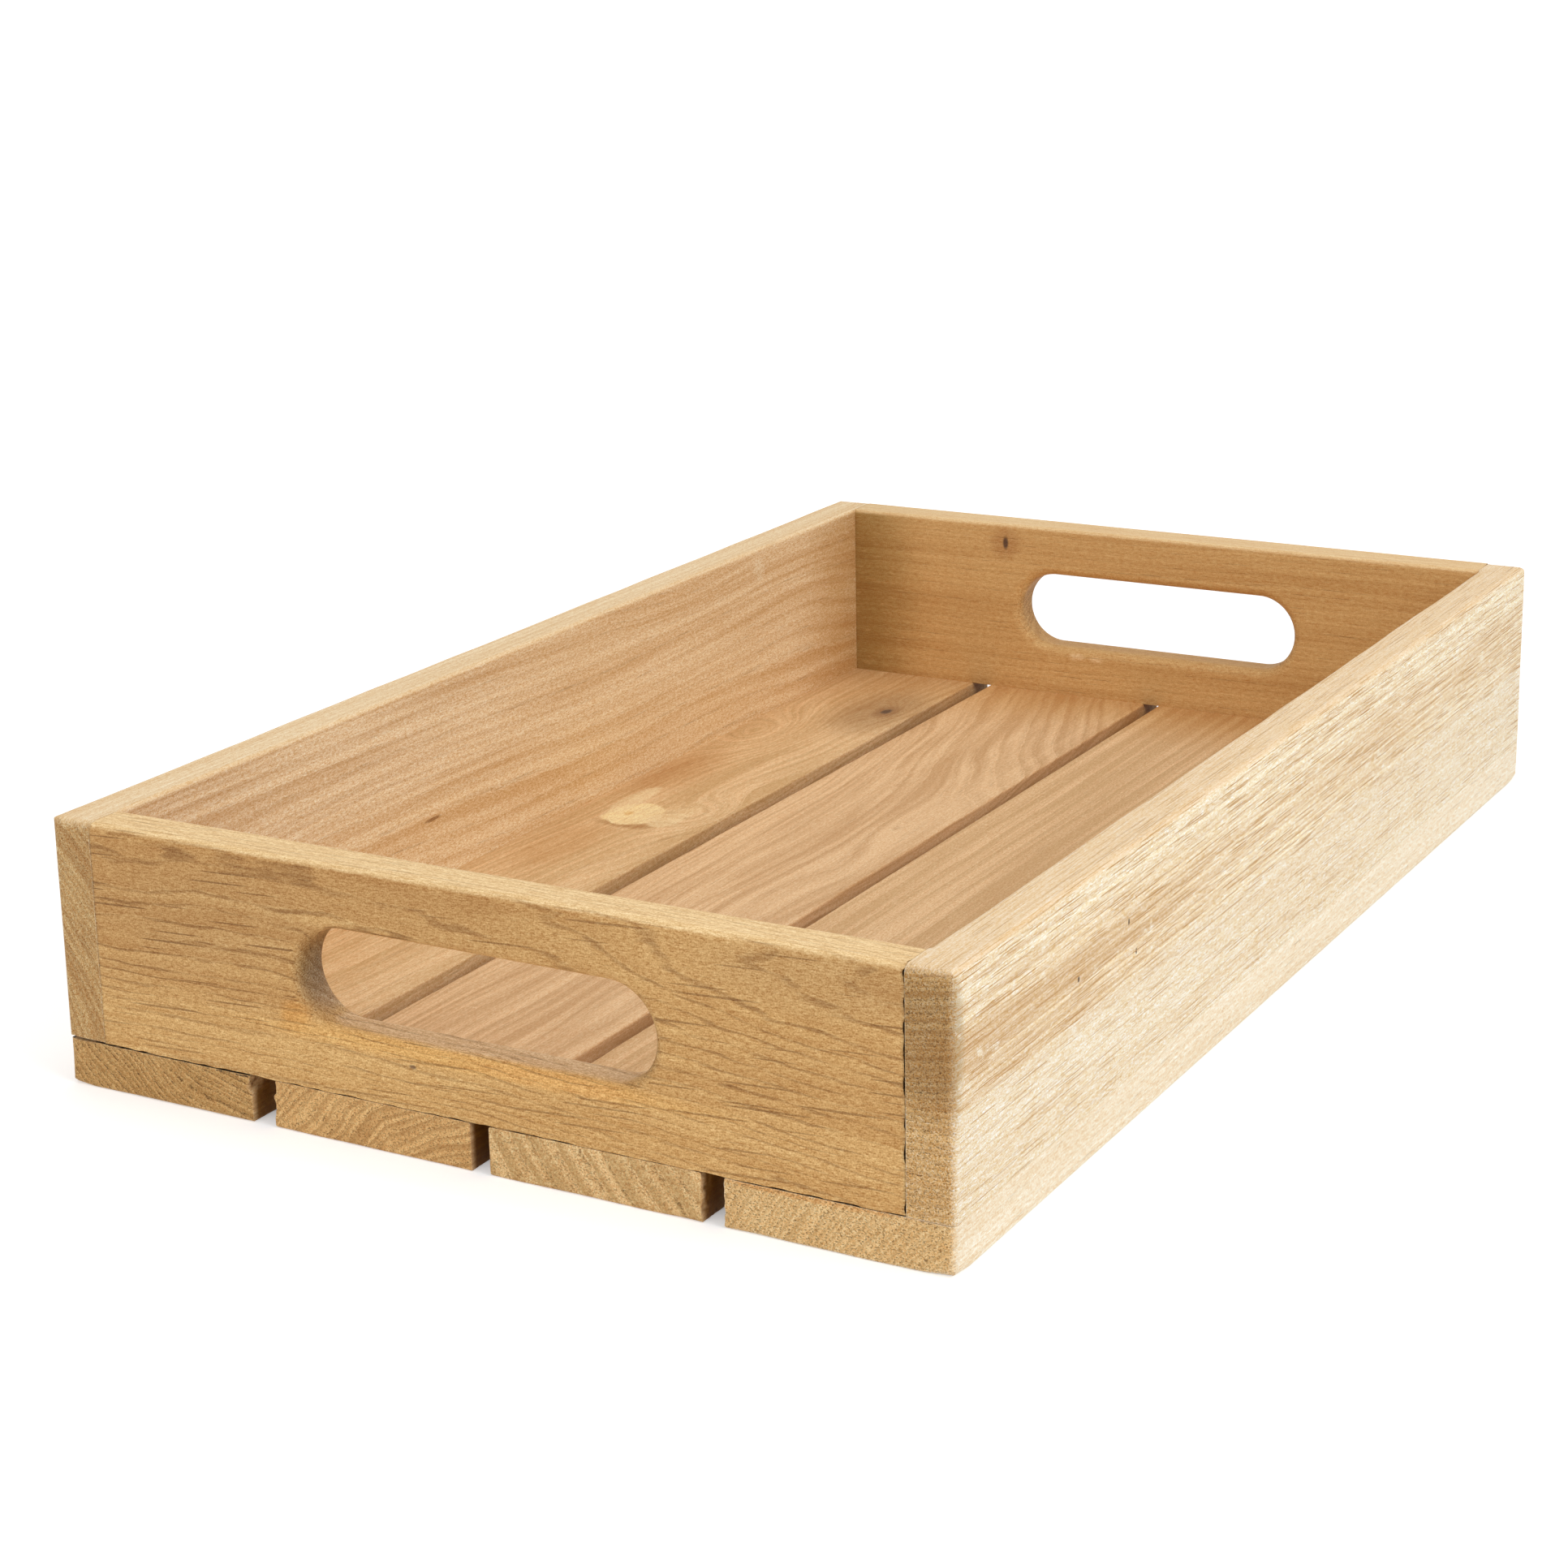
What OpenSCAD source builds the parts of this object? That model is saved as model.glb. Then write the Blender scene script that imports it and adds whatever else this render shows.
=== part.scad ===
// Oak tray with a slatted floor, plain butt-jointed walls and an oval hand slot in each end.
// Frame: X across the width, Y along the length, Z up. The front end board faces -Y.
// Origin: middle of the footprint, on the surface that the slats stand on. Millimetres.

/* [Tray] */
// Overall length, over the end boards
tray_l = 400; // [320:1:480]
// Overall width, over the side boards
tray_w = 240; // [200:1:300]
// Height of the walls above the floor slats
wall_h = 56; // [50:1:90]

/* [Boards] */
// Thickness of the two long side boards
side_t = 11.5; // [10:0.5:16]
// Thickness of the two end boards
end_t = 11.5; // [10:0.5:16]
// Thickness of the floor slats
slat_t = 12; // [10:0.5:15]

/* [Gaps between the floor slats] */
// Gap between slats 1 and 2, counted from the left
gap_left = 6.3; // [3:0.1:9]
// Gap between slats 2 and 3
gap_middle = 4.9; // [3:0.1:9]
// Gap between slats 3 and 4
gap_right = 5.2; // [3:0.1:9]

/* [Hand slots] */
// Length of the opening, over its round ends
slot_l = 95; // [80:1:120]
// Height of the opening
slot_h = 24; // [18:1:28]
// Round-over where the opening meets each face
slot_round = 3; // [1:0.5:4]

/* [Softened edges] */
// Radius of the outer top edges
top_round = 2; // [0.5:0.1:3]
// Radius of the vertical outer corners
corner_round = 1.8; // [0.5:0.1:3]
// Radius of the slats' outer bottom edges
foot_round = 1.5; // [0.5:0.1:2.5]
// Radius of the inner top edges of the walls
rim_round = 1.2; // [0.4:0.1:2]
// Radius of the slats' long edges beside the gaps
gap_round = 0.6; // [0.2:0.1:1]

/* [Corner dowels] */
// Diameter of the beech dowels
dowel_d = 6; // [4:0.5:7]
// Length of a dowel
dowel_l = 30; // [24:1:40]
// Depth of a dowel in the side board
dowel_in_side = 7.5; // [6:0.5:8]
// Height of the lower dowel above the floor
dowel_low = 20; // [18:1:24]
// Drop of the upper dowel below the rim
dowel_drop = 18; // [12:1:20]
// Room for glue round a dowel
dowel_fit = 0.05; // [0.02:0.01:0.1]
// Empty depth beyond each end of a dowel
dowel_spare = 0.5; // [0.2:0.1:1]

/* [Slat screws] */
// Outer diameter of the screw thread
screw_d = 3; // [2.5:0.1:3.5]
// Depth that a screw reaches into the wall
screw_bite = 13.5; // [9:0.5:14.5]
// Diameter of the countersunk head
screw_head_d = 6; // [5:0.1:6.6]
// Depth of the head's face below the slat's underside
screw_sink = 0.5; // [0.1:0.1:0.8]
// Distance of the end screws from the edges of their slat
screw_inset = 16; // [14:1:20]
// Distance of the first side screw from the tray's end
side_screw_start = 65; // [50:1:90]
// Number of screws along each side board
side_screw_count = 4; // [2:1:6]
// Room round the thread and the head
screw_fit = 0.05; // [0.02:0.01:0.1]
// Room round the plain shank in the slat
shank_fit = 0.2; // [0.1:0.05:0.4]
// Empty depth beyond a screw's point
screw_spare = 1; // [0.5:0.1:2]

/* [Hidden] */

$fn = 48;
past = 1;                             // how far a cut runs past a face
left = -1;
right = 1;
front = -1;
rear = 1;

tray_h = slat_t + wall_h;
inner_w = tray_w - 2 * side_t;        // between the side boards
inner_l = tray_l - 2 * end_t;         // between the end boards
side_mid = (tray_w - side_t) / 2;     // distance of a side board's middle from the centre
end_mid = (tray_l - end_t) / 2;       // distance of an end board's middle from the centre
slot_r = slot_h / 2;
slot_z = slat_t + wall_h / 2;         // the slots sit halfway up the walls

// The gaps are as stated and the slats share the rest of the width.
gaps = [gap_left, gap_middle, gap_right];
slat_w = (tray_w - gap_left - gap_middle - gap_right) / 4;
function slat_x(i) = -tray_w / 2 + i * slat_w + (i > 0 ? gaps[0] : 0)
                     + (i > 1 ? gaps[1] : 0) + (i > 2 ? gaps[2] : 0);

// Places of the fixings
dowel_z = [slat_t + dowel_low, tray_h - dowel_drop];
end_screw_x = [for (i = [0:3]) each [slat_x(i) + screw_inset, slat_x(i) + slat_w - screw_inset]];
side_screw_step = (tray_l - 2 * side_screw_start) / (side_screw_count - 1);
side_screw_y = [for (i = [0:side_screw_count - 1]) side_screw_start - tray_l / 2 + i * side_screw_step];

// Screw proportions, all from its stated sizes
screw_l = slat_t - screw_sink + screw_bite;
screw_r = screw_d / 2;
screw_root = 0.68 * screw_r;
screw_pitch = 0.45 * screw_d;
screw_neck = slat_t;                  // the plain shank ends at the top of the slat
screw_point = 0.9 * screw_d;
screw_rings = floor((screw_l - screw_neck - screw_point) / screw_pitch);
recess_l = 0.52 * screw_head_d;
recess_w = 0.14 * screw_head_d;
recess_deep = 0.22 * screw_head_d;

oak = [0.80, 0.64, 0.45];
oak_pale = [0.85, 0.72, 0.53];
beech = [0.86, 0.70, 0.52];
zinc = [0.75, 0.73, 0.66];

// ---- Shared shapes ----

// What sanding leaves of a square corner: everything outside a circle of radius r
module edge_waste(r) {
    difference() {
        translate([-r, -r]) square(r + past);
        translate([-r, -r]) circle(r);
    }
}

// Rectangle centred on X, standing on Y = 0, with its upper and lower corners eased
module eased_rect(w, h, r_high, r_low) {
    difference() {
        translate([-w / 2, 0]) square([w, h]);
        for (m = [0, 1]) mirror([m, 0]) {
            translate([w / 2, h]) edge_waste(r_high);
            translate([w / 2, 0]) mirror([0, 1]) edge_waste(r_low);
        }
    }
}

// Outside of the whole tray: a block with eased corners, seen from above, the front and the side
module outside() {
    intersection() {
        translate([0, -tray_l / 2]) linear_extrude(tray_h)
            eased_rect(tray_w, tray_l, corner_round, corner_round);
        translate([0, tray_l / 2 + past, 0]) rotate([90, 0, 0]) linear_extrude(tray_l + 2 * past)
            eased_rect(tray_w, tray_h, top_round, foot_round);
        translate([-tray_w / 2 - past, 0, 0]) rotate([90, 0, 90]) linear_extrude(tray_w + 2 * past)
            eased_rect(tray_l, tray_h, top_round, foot_round);
    }
}

// Eases a top inner edge that runs along X over the length l, on the +Y side of a wall
module rim_waste(l) {
    translate([-l / 2, 0, 0]) rotate([90, 0, 90]) linear_extrude(l) edge_waste(rim_round);
}

// ---- Holes ----

// The part of a hand slot's cut that opens out towards a face, which leaves a round-over
module slot_flare() {
    difference() {
        translate([0, -slot_round]) square([slot_round, slot_round + past]);
        translate([slot_round, -slot_round]) circle(slot_round);
    }
}

// Half outline of a hand slot's cut through a board of thickness t
module slot_half(t) {
    translate([0, -t / 2 - past]) square([slot_r, t + 2 * past]);
    for (m = [0, 1]) mirror([0, m]) translate([slot_r, t / 2]) slot_flare();
}

// Oval hand slot along X, cut along Y through a board whose middle is at y = 0
module hand_slot(t) {
    run = slot_l - slot_h;
    rotate([90, 0, 0]) {
        for (s = [-1, 1]) translate([s * run / 2, 0, 0]) rotate_extrude() slot_half(t);
        translate([-run / 2, 0, 0]) rotate([90, 0, 90]) linear_extrude(run) {
            slot_half(t);
            mirror([1, 0]) slot_half(t);
        }
    }
}

// Bores for the two dowels of one corner, along X
module dowel_bores(side, end) {
    bore_l = dowel_l + 2 * dowel_spare;
    for (z = dowel_z) translate([side * inner_w / 2, end * end_mid, z]) rotate([0, side * 90, 0])
        translate([0, 0, dowel_in_side + dowel_spare - bore_l])
            cylinder(h = bore_l, r = dowel_d / 2 + dowel_fit);
}

// Pilot hole in a wall above a slat
module pilot_bore() {
    translate([0, 0, slat_t - past])
        cylinder(h = past + screw_bite + screw_spare, r = screw_r + screw_fit);
}

// Clearance hole and countersink in a slat
module slat_bore() {
    head_r = screw_head_d / 2 + screw_fit;
    shank_r = screw_r + shank_fit;
    translate([0, 0, -past]) cylinder(h = slat_t + 2 * past, r = shank_r);
    translate([0, 0, screw_sink]) cylinder(h = head_r - shank_r, r1 = head_r, r2 = shank_r);
    translate([0, 0, -past]) cylinder(h = past + screw_sink, r = head_r);
}

// Puts its children at each screw of an end board, or of a side board
module at_end_screws(end) { for (x = end_screw_x) translate([x, end * end_mid, 0]) children(); }
module at_side_screws(side) { for (y = side_screw_y) translate([side * side_mid, y, 0]) children(); }

// ---- Boards ----

module side_board(side) {
    color(oak) difference() {
        intersection() {
            translate([side > 0 ? inner_w / 2 : -tray_w / 2, -tray_l / 2, slat_t])
                cube([side_t, tray_l, wall_h]);
            outside();
        }
        translate([side * inner_w / 2, 0, tray_h]) rotate([0, 0, side * 90]) rim_waste(inner_l);
        for (end = [front, rear]) dowel_bores(side, end);
        at_side_screws(side) pilot_bore();
    }
}

module end_board(end) {
    color(oak) difference() {
        intersection() {
            translate([-inner_w / 2, end > 0 ? inner_l / 2 : -tray_l / 2, slat_t])
                cube([inner_w, end_t, wall_h]);
            outside();
        }
        translate([0, end * inner_l / 2, tray_h]) rotate([0, 0, end > 0 ? 180 : 0]) rim_waste(inner_w);
        translate([0, end * end_mid, slot_z]) hand_slot(end_t);
        for (side = [left, right]) dowel_bores(side, end);
        at_end_screws(end) pilot_bore();
    }
}

// Slat i of 0 to 3, counted from the left
module floor_slat(i) {
    color(oak_pale) difference() {
        intersection() {
            translate([slat_x(i) + slat_w / 2, tray_l / 2, 0]) rotate([90, 0, 0]) linear_extrude(tray_l)
                eased_rect(slat_w, slat_t, gap_round, gap_round);
            outside();
        }
        for (end = [front, rear]) at_end_screws(end) slat_bore();
        for (side = [left, right]) at_side_screws(side) slat_bore();
    }
}

// ---- Fixings ----

module dowel() {
    ease = dowel_d / 8;
    rotate_extrude() polygon([[0, 0], [dowel_d / 2 - ease, 0], [dowel_d / 2, ease],
        [dowel_d / 2, dowel_l - ease], [dowel_d / 2 - ease, dowel_l], [0, dowel_l]]);
}

module corner_dowels(side, end) {
    color(beech) for (z = dowel_z) translate([side * inner_w / 2, end * end_mid, z])
        rotate([0, side * 90, 0]) translate([0, 0, dowel_in_side - dowel_l]) dowel();
}

// Countersunk wood screw, head face down at z = 0 and point up
module screw() {
    head_r = screw_head_d / 2;
    thread = [for (i = [0:screw_rings - 1]) each [
        [screw_root, screw_neck + i * screw_pitch],
        [screw_r, screw_neck + (i + 0.5) * screw_pitch]]];
    difference() {
        rotate_extrude() polygon(concat(
            [[0, 0], [head_r, 0], [screw_root, head_r - screw_root]],
            thread,
            [[screw_root, screw_l - screw_point], [0, screw_l]]));
        for (a = [0, 90]) rotate([0, 0, a])
            translate([-recess_l / 2, -recess_w / 2, -past]) cube([recess_l, recess_w, recess_deep + past]);
    }
}

module end_screws(end) { color(zinc) at_end_screws(end) translate([0, 0, screw_sink]) screw(); }
module side_screws(side) { color(zinc) at_side_screws(side) translate([0, 0, screw_sink]) screw(); }

// ---- The pieces ----

side_board(left);  // left_side_board
side_board(right);  // right_side_board
end_board(front);  // front_end_board
end_board(rear);  // rear_end_board
floor_slat(0);  // floor_slat_1
floor_slat(1);  // floor_slat_2
floor_slat(2);  // floor_slat_3
floor_slat(3);  // floor_slat_4
corner_dowels(left, front);  // front_left_dowels
corner_dowels(right, front);  // front_right_dowels
corner_dowels(left, rear);  // rear_left_dowels
corner_dowels(right, rear);  // rear_right_dowels
end_screws(front);  // front_slat_screws
end_screws(rear);  // rear_slat_screws
side_screws(left);  // left_slat_screws
side_screws(right);  // right_slat_screws
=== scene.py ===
# Bare oak tray: four wall boards with two oval hand slots, four floor slats, dowels and screws.
# Units are metres in the file and millimetres where a name or note says so.
import math
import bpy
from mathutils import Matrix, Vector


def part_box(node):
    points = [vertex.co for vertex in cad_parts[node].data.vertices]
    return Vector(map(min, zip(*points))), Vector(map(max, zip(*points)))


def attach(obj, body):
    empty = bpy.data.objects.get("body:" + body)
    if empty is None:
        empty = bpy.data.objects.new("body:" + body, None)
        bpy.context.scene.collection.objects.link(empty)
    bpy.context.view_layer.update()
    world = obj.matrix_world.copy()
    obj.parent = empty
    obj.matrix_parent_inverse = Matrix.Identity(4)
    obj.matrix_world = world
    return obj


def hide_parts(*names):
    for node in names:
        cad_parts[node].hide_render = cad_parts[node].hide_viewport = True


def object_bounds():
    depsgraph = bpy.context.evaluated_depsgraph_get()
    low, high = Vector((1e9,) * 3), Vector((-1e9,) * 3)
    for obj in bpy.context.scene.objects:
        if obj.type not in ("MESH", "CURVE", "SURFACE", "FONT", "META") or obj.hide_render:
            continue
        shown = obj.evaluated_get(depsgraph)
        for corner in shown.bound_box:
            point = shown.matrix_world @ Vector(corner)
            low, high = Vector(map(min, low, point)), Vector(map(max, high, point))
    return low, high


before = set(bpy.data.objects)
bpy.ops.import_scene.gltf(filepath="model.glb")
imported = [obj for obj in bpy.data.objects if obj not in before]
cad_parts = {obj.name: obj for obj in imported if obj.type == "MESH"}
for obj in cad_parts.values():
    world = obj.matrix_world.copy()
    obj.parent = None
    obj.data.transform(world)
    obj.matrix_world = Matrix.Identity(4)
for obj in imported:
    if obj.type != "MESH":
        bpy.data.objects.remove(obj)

from types import SimpleNamespace

import bpy
import numpy as np
from mathutils import Matrix, Vector

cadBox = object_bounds()
mm = 0.001
sharpAngle = math.radians(38)  # edges of the bores that turn by more than this stay sharp
print("frame loaded:", len(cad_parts), "nodes")


# Whole numbers that scramble a lattice place and a seed into a random value
lattice = {"steps": np.array([73856093, 19349663, 83492791]), "seedStep": 7919, "mix": 1274126177,
           "range": 0xFFFFF}


# Smooth random values from -1 to 1: the eight lattice corners round a point, blended by a smooth step
def latticeNoise(points, cell, seed):
    scaled = points / np.asarray(cell, float)
    base = np.floor(scaled).astype(np.int64)
    part = scaled - base
    part = part * part * (3 - 2 * part)
    total = np.zeros(len(points))
    for corner in range(8):
        step = np.array([corner & 1, corner >> 1 & 1, corner >> 2 & 1])
        key = (base + step) @ lattice["steps"] + seed * lattice["seedStep"]
        key = (key ^ (key >> 13)) * lattice["mix"]
        value = ((key ^ (key >> 16)) & lattice["range"]) / lattice["range"] * 2 - 1
        total += value * np.prod(np.where(step, part, 1 - part), axis=1)
    return total


# Even steps from low to high, with finer steps over a strip at each end
def edgeSteps(low, high, step, strip, fine):
    inner = np.linspace(low + strip, high - strip, max(2, round((high - low - 2 * strip) / step) + 1))
    count = max(2, round(strip / fine) + 1)
    return np.concatenate([np.linspace(low, low + strip, count)[:-1], inner,
                           np.linspace(high - strip, high, count)[1:]])


# Closed block surface: six grids over the faces of a lattice of steps, sharing their border points
def blockSurface(xs, ys, zs):
    shape = (len(xs), len(ys), len(zs))
    outer = np.zeros(shape, bool)
    for axis in range(3):
        ends = [slice(None)] * 3
        ends[axis] = [0, -1]
        outer[tuple(ends)] = True
    number = np.full(shape, -1, np.int64)
    number[outer] = np.arange(outer.sum())
    i, j, k = np.nonzero(outer)
    points = np.column_stack([xs[i], ys[j], zs[k]])
    faces = []
    for axis in range(3):
        for end, turned in ((0, True), (-1, False)):
            sheet = np.take(number, end, axis=axis)
            if axis == 1:
                turned = not turned
            quads = np.stack([sheet[:-1, :-1], sheet[1:, :-1], sheet[1:, 1:], sheet[:-1, 1:]], axis=-1)
            quads = quads.reshape(-1, 4)
            faces.append(quads[:, ::-1] if turned else quads)
    return points, np.concatenate(faces)


# Rounds the edge where face A (axis, place, outward sign) meets face B: points of the square corner
# nearer than the radius to both faces are drawn in towards a circle that touches both
def easeEdge(points, faceA, faceB, radius):
    (axisA, placeA, signA), (axisB, placeB, signB) = faceA, faceB
    depthA = signA * (placeA - points[:, axisA])
    depthB = signB * (placeB - points[:, axisB])
    radius = np.broadcast_to(radius, depthA.shape)
    reach = np.hypot(radius - depthA, radius - depthB)
    out = (depthA < radius) & (depthB < radius) & (reach > radius)
    share = radius[out] / reach[out]
    points[out, axisA] = placeA - signA * (radius[out] - (radius[out] - depthA[out]) * share)
    points[out, axisB] = placeB - signB * (radius[out] - (radius[out] - depthB[out]) * share)


# Opens a seam: near the outer face, points close to the joint face are drawn in by the given depth. It
# fades over the strip behind the joint and, past a part at full depth, over the reach behind the outer face.
def openSeam(points, joint, outer, depth, reach=5 * mm):
    (axisJoint, placeJoint, signJoint), (axisOuter, placeOuter, signOuter) = joint, outer
    behindJoint = signJoint * (placeJoint - points[:, axisJoint])
    behindOuter = signOuter * (placeOuter - points[:, axisOuter])
    inward = np.clip(seams["hold"] * (1 - behindOuter / reach), 0, 1)
    points[:, axisJoint] -= signJoint * depth * np.clip(1 - behindJoint / seams["strip"], 0, 1) * inward


# Broken seam depth: random from 0 up to the seam's depth, in cells of the seam's size
def brokenDepth(points, seam, seed):
    depth, cell, bias, swing = seam
    return depth * np.clip(bias + swing * latticeNoise(points, [cell] * 3, seed), 0, 1)


# Uneven wear: 1 plus a random swing, in cells of the given size
def wandering(points, wear, seed):
    swing, cell = wear
    return 1 + swing * latticeNoise(points, [cell] * 3, seed)


# Three values for each point of a mesh, as rows
def pointArray(vertices, kind):
    values = np.empty(len(vertices) * 3)
    vertices.foreach_get(kind, values)
    return values.reshape(-1, 3)


def newObject(name, data):
    body = bpy.data.objects.new(name, data)
    bpy.context.scene.collection.objects.link(body)
    return body


# Puts points and faces into a new object whose origin is the frame's origin
def newPiece(name, points, faces, smooth=True):
    mesh = bpy.data.meshes.new(name)
    mesh.from_pydata(points.tolist(), [], faces if isinstance(faces, list) else faces.tolist())
    mesh.polygons.foreach_set("use_smooth", np.full(len(mesh.polygons), smooth))
    mesh.update()
    return newObject(name, mesh)


# Closed turned body: the profile (radius, place along the axis) starts and ends on the axis
def turnedBody(profile, centre, axis, count=40):
    profile = np.array(profile)
    angle = np.arange(count) * 2 * math.pi / count
    rings = profile[1:-1]
    body = np.zeros((len(rings), count, 3))
    side, rise = (axis + 1) % 3, (axis + 2) % 3
    body[:, :, side] = rings[:, :1] * np.cos(angle)
    body[:, :, rise] = rings[:, :1] * np.sin(angle)
    body[:, :, axis] = rings[:, 1:]
    poles = np.zeros((2, 3))
    poles[:, axis] = profile[[0, -1], 1]
    points = np.concatenate([body.reshape(-1, 3), poles]) + np.asarray(centre)
    row, turn = np.meshgrid(np.arange(len(rings) - 1), np.arange(count), indexing="ij")
    after = (turn + 1) % count
    quads = np.stack([row * count + turn, row * count + after, (row + 1) * count + after,
                      (row + 1) * count + turn], axis=-1).reshape(-1, 4)
    spot = np.arange(count)
    last = (len(rings) - 1) * count
    low = np.stack([np.full(count, len(points) - 2), (spot + 1) % count, spot], axis=-1)
    high = np.stack([np.full(count, len(points) - 1), last + spot, last + (spot + 1) % count], axis=-1)
    return points, quads.tolist() + low.tolist() + high.tolist()


# Cuts turned bodies out of a piece, exactly, and keeps the edges of the holes sharp
def cutAway(piece, bodies):
    points, faces, start = [], [], 0
    for bodyPoints, bodyFaces in bodies:
        points.append(bodyPoints)
        faces += [[start + v for v in face] for face in bodyFaces]
        start += len(bodyPoints)
    cutter = newPiece("cutter", np.concatenate(points), faces, smooth=False)
    cut = piece.modifiers.new("bores", "BOOLEAN")
    cut.object = cutter
    cut.operation = "DIFFERENCE"
    cut.solver = "EXACT"
    whole = piece.evaluated_get(bpy.context.evaluated_depsgraph_get())
    mesh = bpy.data.meshes.new_from_object(whole)
    piece.modifiers.clear()
    old, piece.data = piece.data, mesh
    bpy.data.meshes.remove(old)
    bpy.data.objects.remove(cutter)
    mesh.set_sharp_from_angle(angle=sharpAngle)


# Lowest and highest corner of a node
def edges(node):
    low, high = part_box(node)
    return np.array(low), np.array(high)


# Boxes round the separate solids of a node: every point takes the lowest number among its neighbours
# until nothing changes
def solidBoxes(node):
    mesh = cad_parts[node].data
    points = pointArray(mesh.vertices, "co")
    places, number = np.unique(points.round(6), axis=0, return_inverse=True)
    links = np.empty(len(mesh.edges) * 2, np.int32)
    mesh.edges.foreach_get("vertices", links)
    first, second = number.reshape(-1)[links.reshape(-1, 2)].T
    label = np.arange(len(places))
    while True:
        lowest = np.minimum(label[first], label[second])
        after = label.copy()
        np.minimum.at(after, first, lowest)
        np.minimum.at(after, second, lowest)
        if np.array_equal(after, label):
            break
        label = after
    return [(places[label == n].min(axis=0), places[label == n].max(axis=0)) for n in np.unique(label)]


trayHigh = np.array(cadBox[1])
endLow, endHigh = edges("front_end_board")
rimTop = endHigh[2]
innerY = abs(endHigh[1])
slatTop = endLow[2]
innerX = endHigh[0]

# Edge roundings, and the steps of the meshes
edgeSizes = {
    "outerTop": 2.2 * mm,      # rim of the right and front boards
    "leftTop": 1.2 * mm,       # rim of the left and rear boards
    "outerCorner": 1.9 * mm,   # upright corners of the tray
    "innerTop": 1.2 * mm,
    "joint": 0.22 * mm,
    "tucked": 0.088 * mm,      # edges that meet another board inside a joint
    "slatEnd": 0.11 * mm,
    "tight": 0.04 * mm,
    "sharp": 0.001 * mm,
    "footEdge": 0.9 * mm,
    "sideFoot": 0.8 * mm,
    "cornerFoot": 2.6 * mm,
    "cornerReach": 7 * mm,
    "slatLong": 0.6 * mm,
    "meshStep": 1.6 * mm,
    "endStep": 1.25 * mm,
    "slatStep": 2.0 * mm,
    "fineStrip": 3.0 * mm,
    "fineStep": 0.3 * mm,
    "slatEndStrip": 6.0 * mm,
    "slatEndStep": 0.42 * mm,
    "same": 0.5 * mm,          # two faces nearer than this are in one plane
}

# Swing and cell size of the uneven wear
wallWear = (0.25, 18 * mm)
slatEdgeWear = (0.35, 9 * mm)

# Seams between boards: how far each opens at the outer face, the size of its broken bits, and the bias
# and swing of their random depth
seams = {
    "underEnd": (0.24 * mm, 3 * mm, 0.6, 1.2),
    "rightJoint": (0.50 * mm, 1.7 * mm, 0.4, 1.9),
    "leftJoint": (0.07 * mm, 3 * mm, 0.55, 0.9),
    "underLeftEnd": (0.30 * mm, 5 * mm, 0.55, 0.9),
    "underLeft": (0.30 * mm, 9 * mm, 0.55, 0.9),
    "slatBits": (5 * mm, 0.75, 0.6),
    "strip": 2.0 * mm,
    "hold": 1.6,
    "leftShade": 0.6,
}

# Bores: clearances round the dowels and screws, how far a bore runs on past them, and the shank's radius
bores = {"dowelFit": 0.05 * mm, "dowelSpare": 0.5 * mm, "screwFit": 0.05 * mm, "shankFit": 0.2 * mm,
         "screwSpare": 1.0 * mm, "past": 1.0 * mm, "shank": 1.5 * mm}


# The six faces of a box as (axis, place, outward sign): left, right, front, rear, bottom, top
def sixFaces(low, high):
    return [(axis, end[axis], sign) for axis in range(3) for end, sign in ((low, -1), (high, 1))]


# A finished board stands in for its node
def newBoard(name, node, points, faces):
    piece = newPiece(name, points, faces)
    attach(piece, "root")
    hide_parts(node)
    return piece


# Steps across a board, finer near its edges
def boardSteps(low, high, step):
    return edgeSteps(low, high, step, edgeSizes["fineStrip"], edgeSizes["fineStep"])


# Side board: a closed block with rounded edges; sign is -1 for the left one and 1 for the right one
def makeSideBoard(name, node, sign, seed):
    low, high = edges(node)
    size = edgeSizes
    points, faces = blockSurface(*(boardSteps(low[a], high[a], size["meshStep"]) for a in range(3)))
    left, right, front, rear, bottom, top = sixFaces(low, high)
    outer, inner = (right, left) if sign > 0 else (left, right)
    wander = wandering(points, wallWear, seed)
    within = np.abs(points[:, 1]) < innerY
    foot = size["sideFoot"] if sign < 0 else size["joint"]
    easeEdge(points, outer, top, (size["outerTop"] if sign > 0 else size["leftTop"]) * wander)
    for end in (front, rear):
        easeEdge(points, outer, end, size["outerCorner"] * wander)
        easeEdge(points, top, end, size["outerTop"] * wander)
        easeEdge(points, inner, end, size["tucked"] * wander)
        easeEdge(points, bottom, end, (size["joint"] if sign < 0 else size["tight"]) * wander)
    easeEdge(points, outer, bottom, foot * wander)
    easeEdge(points, inner, top, np.where(within, size["innerTop"] * wander, size["sharp"]))
    if sign < 0:
        for end in (front, rear):
            openSeam(points, bottom, end, brokenDepth(points, seams["underLeftEnd"], seed + 1))
        openSeam(points, bottom, outer, brokenDepth(points, seams["underLeft"], seed + 2))
    return newBoard(name, node, points, faces)


# Hand slots of the front (-1) and rear (1) ends: length, and where the middle lies beside the board's
handSlot = {
    "length": {-1: 95.9 * mm, 1: 95.2 * mm}, "middle": {-1: -0.75 * mm, 1: 1.1 * mm}, "height": 24 * mm,
    "roundOver": 3 * mm, "arcSteps": 8, "wallSteps": 5, "spread": (0.05, 0.12, 0.012),
}


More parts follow.
